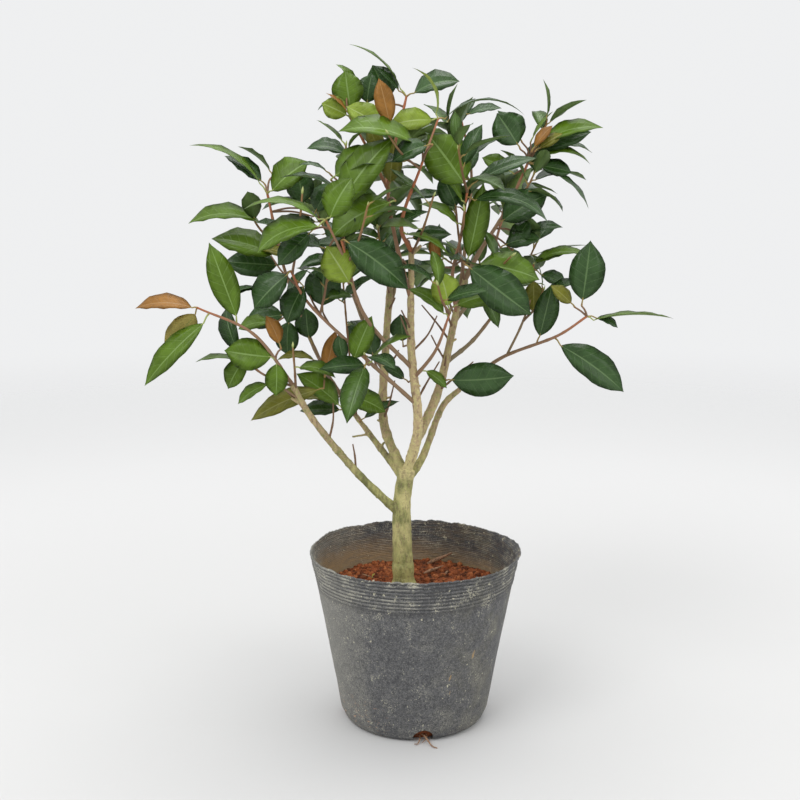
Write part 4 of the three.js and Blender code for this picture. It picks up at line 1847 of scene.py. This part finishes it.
SPRAYS = (
    Spray("left_lower_outer", "bough_low_left", 3, (D, G), 3),
    Spray("left_lower_inner", "bough_low_left", 5, (G, D, E), 4),
    Spray("left_middle", "shoot_left_riser", 5, (D, D, G), 5),
    Spray("left_side", "shoot_left_riser", 2, (D, E), 6),
    Spray("left_inner", "shoot_slant", 7, (D, D, E), 8),
    Spray("left_shoulder", "twig_shoulder", 4, (D, G), 9),
    Spray("left_heart", "shoot_high_slant", 9, (D, E), 10),
    Spray("left_core", "shoot_slant", 8, (D, E), 11),
    Spray("low_centre", "shoot_slant", 6, (G, D, E), 12),
    Spray("top_left", "twig_cluster", 4, (G, D, D), 13),
    Spray("top_front", "twig_centre_riser", 8, (D, E, D), 15),
    Spray("centre", "shoot_bud_riser", 10, (D, E, D), 16),
    Spray("centre_right", "shoot_bud_riser", 11, (D, E), 17),
    Spray("front_low", "shoot_front", 6, (D, E, G), 19),
    Spray("right_core", "bough_right_leader", 9, (D, D, E), 18, (4, 56, 4)),
    Spray("top_right", "shoot_right_riser", 5, (D, E, D), 20),
    Spray("top_right_lower", "shoot_right_riser", 6, (D, D, E), 21),
    Spray("right_upper", "shoot_right_fork", 6, (D, E, D), 22),
    Spray("right_inner", "twig_right_low", 3, (D, E), 24),
    Spray("back_left", "shoot_back_left", 13, (G, D, E), 27),
    Spray("back_middle", "shoot_back_riser", 17, (G, D, E), 28),
    Spray("back_right", "shoot_back_right", 14, (D, G, E), 29),
    Spray("back_low", "shoot_back_right", 10, (D, G), 30),
    Spray("back_middle", "shoot_top_riser", 9, (D, E), 31, (50, -84, 10)),
    Spray("back_middle", "bough_left_leader", 10, (D, E), 35, (-18, -62, -76)),
    Spray("centre", "bough_middle", 7, (D, E, G), 36, (-34, 26, -42)),
    Spray("centre", "bough_right_leader", 9, (D, E), 37, (0, 66, -20)),
    Spray("left_heart", "bough_left_leader", 9, (D, E), 38, (8, 100, -24)),
    Spray("left_core", "bough_left_back", 6, (D, E), 39, (10, 56, 6)),
    Spray("back_low", "bough_left_leader", 7, (D, E), 32, (-62, -60, 10)),
    Spray("back_left", "shoot_back_left", 6, (D, E), 33, (40, -70, -34)),
    Spray("back_low", "shoot_back_right", 6, (D, E), 34, (36, -62, -8)),
)

# The leaves with a set place, by the limb that carries them: each row is a LeafPlan after its limb.
PLANNED = (
    # the low left sprig
    ("shoot_left_sprig", (
        (1, (0, 0, 0), 181, 54, 25, 32, B, 1.0), (1, (0, 6, -3), 231, 48, 27, -70, O, 0.5),
        (0.9, (-2, -4, -6), 226, 84, 26, 60, G, 0.6), (0.68, (2, -3, 3), 109, 74, 28, 80, G, 0.5),
        (0.2, (-2, -6, 8), 172, 46, 34, 75, G, 0.4), (0.3, (-26, 10, -2), 240, 34, 24, 70, G, 0.5),
        (0.2, (-2, -2, 6), 268, 32, 24, 70, G, 0.4), (0.25, (6, 0, 12), 115, 30, 17, 60, B, 0.6))),
    # low on the left
    ("shoot_left_riser", (
        (0.3, (2, -30, 2), 180, 38, 18, 20, O, 1.0), (0.35, (-4, -8, 6), 95, 32, 26, 80, D, 0.4),
        (0.2, (-2, -50, 10), 76, 44, 18, 70, B, 0.4))),
    ("shoot_slant", (
        (0.45, (-6, -10, -10), 67, 46, 25, 75, G, 0.4), (0.45, (-14, -4, -12), 100, 26, 16, 70, D, 0.4))),
    ("shoot_left_riser", (
        (0.07, (-2, -50, 4), 143, 54, 30, 45, G, 0.6), (0.2, (-4, -60, 0), 205, 76, 27, 45, O, 0.7))),
    ("twig_low_left", ((0.55, (-2, 0, 0), 214, 36, 18, 40, G, 0.8),)),
    ("shoot_left_riser", (
        (0.1, (6, -50, 12), -25, 40, 28, 50, G, 0.5), (0.05, (-4, -30, 2), 182, 42, 24, 35, D, 0.5),
        (0.08, (-10, -30, 6), 178, 34, 18, 20, O, 0.6))),
    ("bough_left_back", ((0.9, (0, -20, 6), 26, 42, 16, 30, D, 0.5),)),
    ("shoot_slant", ((0.3, (-4, 8, 10), 110, 32, 26, 70, D, 0.4),)),
    ("shoot_left_riser", (
        (0.5, (-14, 6, 0), 190, 40, 30, 60, D, 0.5), (0.5, (-12, 0, -2), 268, 36, 26, 60, D, 0.5),
        (0.5, (-24, -20, -4), 193, 34, 22, 40, G, 0.8))),
    ("shoot_slant", (
        (1, (0, -4, 0), 225, 46, 36, 60, D, 0.5), (0.95, (10, 4, -2), 245, 40, 30, 65, D, 0.5),
        (1, (-32, 4, -16), 200, 28, 15, 25, D, 0.8))),
    # high on the left
    ("shoot_left_riser", (
        (1, (-3, 0, 8), 152, 78, 24, 12, G, 1.1), (1, (-3, 10, 10), 146, 44, 26, 35, D, 0.5),
        (1, (4, 24, 20), 143, 40, 24, -10, D, 0.7), (1, (2, -8, 0), 38, 46, 38, 55, G, 0.5),
        (0.88, (-8, -6, 2), 181, 72, 34, 28, G, 1.1), (0.74, (-3, -6, 4), 166, 64, 38, 42, G, 0.7),
        (0.72, (-2, 8, -2), 176, 54, 32, 65, D, 0.5), (0.93, (30, 24, 4), 98, 36, 30, 70, D, 0.4),
        (0.93, (40, 30, -4), 60, 34, 28, 60, D, 0.4), (0.72, (14, -6, 2), 160, 36, 24, 30, O, 1.2))),
    ("twig_shoulder_left", (
        (1, (-2, 0, 0), 174, 72, 24, 15, G, 1.3), (1, (-2, -6, -4), 203, 62, 38, 38, G, 1.2),
        (0.8, (-16, 8, 0), 225, 44, 28, 60, D, 0.5), (1, (2, -8, -2), 60, 42, 32, 75, G, 0.4),
        (0.6, (-8, 10, -10), 170, 36, 22, 30, D, 0.6))),
    ("twig_shoulder", (
        (1, (0, 0, 2), 168, 56, 22, 10, D, 1.0), (0.6, (-4, -14, 6), 51, 80, 40, 62, G, 0.5),
        (1, (-10, -4, 14), 33, 46, 32, 60, G, 0.5), (1, (-10, 6, 20), 168, 28, 12, 20, D, 1.0))),
    ("shoot_top_left", ((0.5, (6, -50, 0), 211, 66, 42, 50, G, 0.8),)),
    ("shoot_high_slant", (
        (0.72, (-1, -8, 0), 122, 40, 36, 85, L, 0.3), (1, (2, -10, 2), -38, 72, 38, 70, D, 0.5))),
    ("shoot_slant", ((0.66, (-8, 20, 12), 87, 42, 38, 88, D, 0.3),)),
    # the top
    ("twig_cluster", (
        (1, (0, 6, 6), 98, 36, 32, 70, G, 0.4), (1, (-8, -6, 14), -31, 46, 28, 70, L, 0.5),
        (1, (-2, -8, 2), -18, 32, 15, 60, L, 0.5), (1, (0, -4, 2), 155, 26, 24, 75, L, 0.3),
        (1, (0, -9, 4), 140, 26, 11, 20, B, 0.5), (1, (-6, 6, 24), 210, 26, 10, 20, D, 0.7),
        (1, (14, 14, 12), 80, 28, 24, 70, D, 0.4), (0.4, (-22, 10, 6), 172, 40, 26, 35, D, 1.0))),
    ("shoot_top_left", (
        (0.95, (-14, 10, 4), 115, 36, 32, 75, D, 0.4), (0.82, (-6, -56, 2), 104, 42, 20, 85, B, 0.3),
        (1, (-2, 0, 4), 140, 66, 14, 10, G, 1.0), (1, (-4, 0, 2), 135, 32, 14, 40, D, 0.5),
        (1, (3, -2, 2), 14, 46, 32, 45, D, 1.0), (0.68, (-6, -14, 0), 113, 34, 18, 80, O, 0.4),
        (0.55, (2, -10, 2), 84, 40, 22, 80, O, 0.4))),
    ("twig_centre_riser", (
        (1, (-3, 0, 16), 172, 72, 36, 35, G, 1.1), (1, (8, -6, 16), 205, 36, 26, 50, D, 0.8),
        (0.25, (0, -4, 0), -26, 46, 16, 25, G, 0.9))),
    ("twig_high", (
        (1, (0, 0, 0), 118, 48, 15, -5, L, 1.5), (1, (-1, -4, -1), 188, 42, 26, 60, L, 0.8),
        (1, (2, 4, 0), 2, 76, 16, 8, D, 1.6))),
    ("shoot_top_riser", ((1, (4, 4, -2), 10, 36, 18, 35, D, 0.8),)),
    # the centre
    ("shoot_bud_riser", (
        (1, (-1, -6, 2), 127, 58, 48, 80, G, 0.4), (0.9, (-1, -4, 0), 132, 62, 18, 40, G, 1.1),
        (1, (4, 0, 6), 21, 62, 24, 35, D, 0.6), (0.95, (3, -6, -2), -18, 76, 26, 35, D, 1.6),
        (0.45, (12, -20, 2), 79, 74, 26, 75, G, 0.4), (0.85, (-6, 10, 0), 116, 34, 28, 75, D, 0.4),
        (0.75, (-2, -6, 0), 155, 42, 18, 30, G, 1.2), (0.4, (-14, -6, 2), 104, 28, 12, 50, B, 0.5),
        (0.42, (10, -44, 4), -37, 76, 42, 75, D, 0.5), (0.42, (20, -20, 4), -14, 62, 36, 60, G, 0.8))),
    ("bough_middle", ((1, (-4, 20, 12), 5, 40, 20, 55, D, 0.5),)),
    ("shoot_front", (
        (1, (4, 40, 2), 12, 60, 30, 50, G, 0.9), (1, (-1, -4, 2), 105, 34, 30, 80, L, 0.3),
        (0.95, (-1, -4, 0), 146, 42, 20, 40, G, 0.9), (0.1, (4, 6, 4), -40, 28, 14, 50, G, 0.5))),
    ("bough_middle", (
        (0.6, (-8, 20, -2), 95, 28, 26, 80, D, 0.3), (0.45, (-6, 20, -4), 150, 26, 14, 50, D, 0.5))),
    ("bough_right_leader", ((0.42, (4, -26, 0), 4, 64, 37, 80, D, 0.2),)),
    # high on the right
    ("shoot_right_riser", (
        (1, (-10, -16, 14), 125, 38, 40, 75, D, 0.4), (1, (2, -12, 12), 50, 28, 14, 50, B, 0.5),
        (1, (6, -12, 12), 32, 28, 14, 60, O, 0.5), (1, (8, -4, 18), 14, 66, 26, 40, G, 0.9),
        (1, (6, 4, 12), 18, 58, 28, 60, D, 0.5), (1, (8, -4, 6), -8, 52, 20, 20, G, 1.4),
        (1, (8, 0, -2), -12, 34, 22, 60, D, 0.5), (1, (8, -4, -4), -38, 66, 20, 20, D, 1.1),
        (1, (2, 4, 22), 52, 34, 10, 20, G, 0.5), (1, (-6, 4, 22), 130, 36, 18, 60, D, 0.5),
        (0.95, (-12, 0, -4), 155, 32, 22, 60, G, 0.5), (0.5, (0, -4, 0), 30, 54, 36, 65, D, 0.5),
        (0.4, (10, -4, -12), 10, 38, 26, 45, D, 1.0), (0.4, (22, 0, -16), 60, 30, 24, 60, D, 0.8),
        (0.45, (30, 4, -8), 12, 38, 22, 25, D, 1.0))),
    # low on the right
    ("twig_right_low", (
        (1, (-2, -4, 2), 4, 56, 20, 25, G, 1.4), (1, (-4, -4, 0), 18, 38, 18, 35, G, 0.8),
        (0.95, (4, 0, -4), -25, 30, 20, 50, D, 0.8), (0.9, (0, -4, -2), 272, 34, 22, 65, O, 0.5))),
    ("shoot_right_sprig", (
        (1, (-6, -4, 12), 84, 60, 38, 80, D, 0.3), (0.62, (2, -3, 4), 78, 56, 27, 85, D, 0.3),
        (1, (-12, 4, 10), 140, 28, 18, 60, O, 0.5), (1, (2, 0, -4), 1, 82, 22, 0, G, 0.5),
        (1, (6, 2, 0), -25, 24, 13, 40, D, 0.9), (0.75, (2, -6, -5), -36, 82, 36, 65, D, 0.7))),
)

PLANS = tuple(LeafPlan(limb, *row) for limb, rows in PLANNED for row in rows)


# ---- stage


@dataclass
class Studio:
    """A pale floor, soft light and the camera."""

    paper: tuple = (0.605, 0.603, 0.598)
    far_paper: tuple = (0.668, 0.666, 0.663)
    sky: tuple = (0.862, 0.868, 0.875)
    floor_radius: float = 4.0
    camera_place: tuple = (-0.01524, -1.15, 0.5493)
    camera_dip: float = math.radians(10.21)
    lens: float = 50.8

    def build(self) -> None:
        """Builds the floor, the world, the lamps and the camera."""
        bpy.context.scene.view_settings.view_transform = "Standard"
        self._floor()
        self._world()
        self._lamp("key", (-1.2, -1.5, 2.4), 1.5, 31.0)
        self._lamp("fill", (1.7, -1.1, 1.5), 1.6, 9.0)
        self._lamp("top", (0.2, 0.5, 2.6), 1.6, 26.0)
        self._camera()

    def _floor(self) -> None:
        """A round sheet of paper that fades into the sky."""
        sides = 64
        rim = [(self.floor_radius * math.cos(2 * math.pi * side / sides),
                self.floor_radius * math.sin(2 * math.pi * side / sides), 0.0) for side in range(sides)]
        floor = mesh_object("floor", rim, faces=[tuple(range(sides))])
        paint = Paint("paper")
        x, y = paint.axis(0), paint.axis(1)
        radius = (x * x + y * y) ** 0.5
        fibre = paint.cloud(240.0, 2.0)
        paint.colour = paint.mix(radius.band(0.35, 1.3), self.paper, self.far_paper)
        paint.coat(fibre * 0.06, (0.56, 0.56, 0.56))
        material = paint.finish(0.95, paint.bump(fibre, 0.0001))
        fade = radius.band(self.floor_radius * 0.2, self.floor_radius * 0.8)
        paint.feed(paint.shader.inputs["Alpha"], 1.0 - fade)
        floor.data.materials.append(material)

    def _world(self) -> None:
        """An even pale sky."""
        world = bpy.data.worlds.new("pale sky")
        world.use_nodes = True
        background = world.node_tree.nodes["Background"]
        background.inputs["Color"].default_value = (*self.sky, 1.0)
        background.inputs["Strength"].default_value = 1.0
        bpy.context.scene.world = world

    @staticmethod
    def _lamp(name: str, place: Sequence[float], size: float, power: float) -> None:
        """Adds a square soft lamp that looks at the plant.

        Args:
            name: its name.
            place: where it hangs.
            size: its width.
            power: its power in watts.
        """
        data = bpy.data.lights.new(name, "AREA")
        data.size = size
        data.energy = power
        lamp = add_object(name, data)
        lamp.location = place
        lamp.rotation_euler = (Vector((0, 0, 0.35)) - Vector(place)).to_track_quat("-Z", "Y").to_euler()

    def _camera(self) -> None:
        """Adds the camera, a little above the crown's foot and looking slightly down."""
        data = bpy.data.cameras.new("camera")
        data.lens = self.lens
        data.sensor_width = 36.0
        camera = add_object("camera", data)
        camera.location = self.camera_place
        camera.rotation_euler = (math.pi / 2 - self.camera_dip, 0.0, 0.0)
        bpy.context.scene.camera = camera


def main() -> None:
    """Builds the stage and the plant, from the pot up."""
    logging.basicConfig(level=logging.INFO, format="%(name)s %(message)s")
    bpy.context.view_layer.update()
    Studio().build()
    tubes = tube_tree()
    pot = Pot.from_frame()
    pot.build()
    wood = Wood(tubes)
    Soil(pot, wood.courses["trunk"].at(0.0), tubes).build()
    wood.build_frame()
    crown = Crown(wood, SPRAYS, PLANS)
    crown.grow()
    crown.build()
    log.info("%d leaves", len(crown.leaves))


if __name__ == "__main__":
    main()
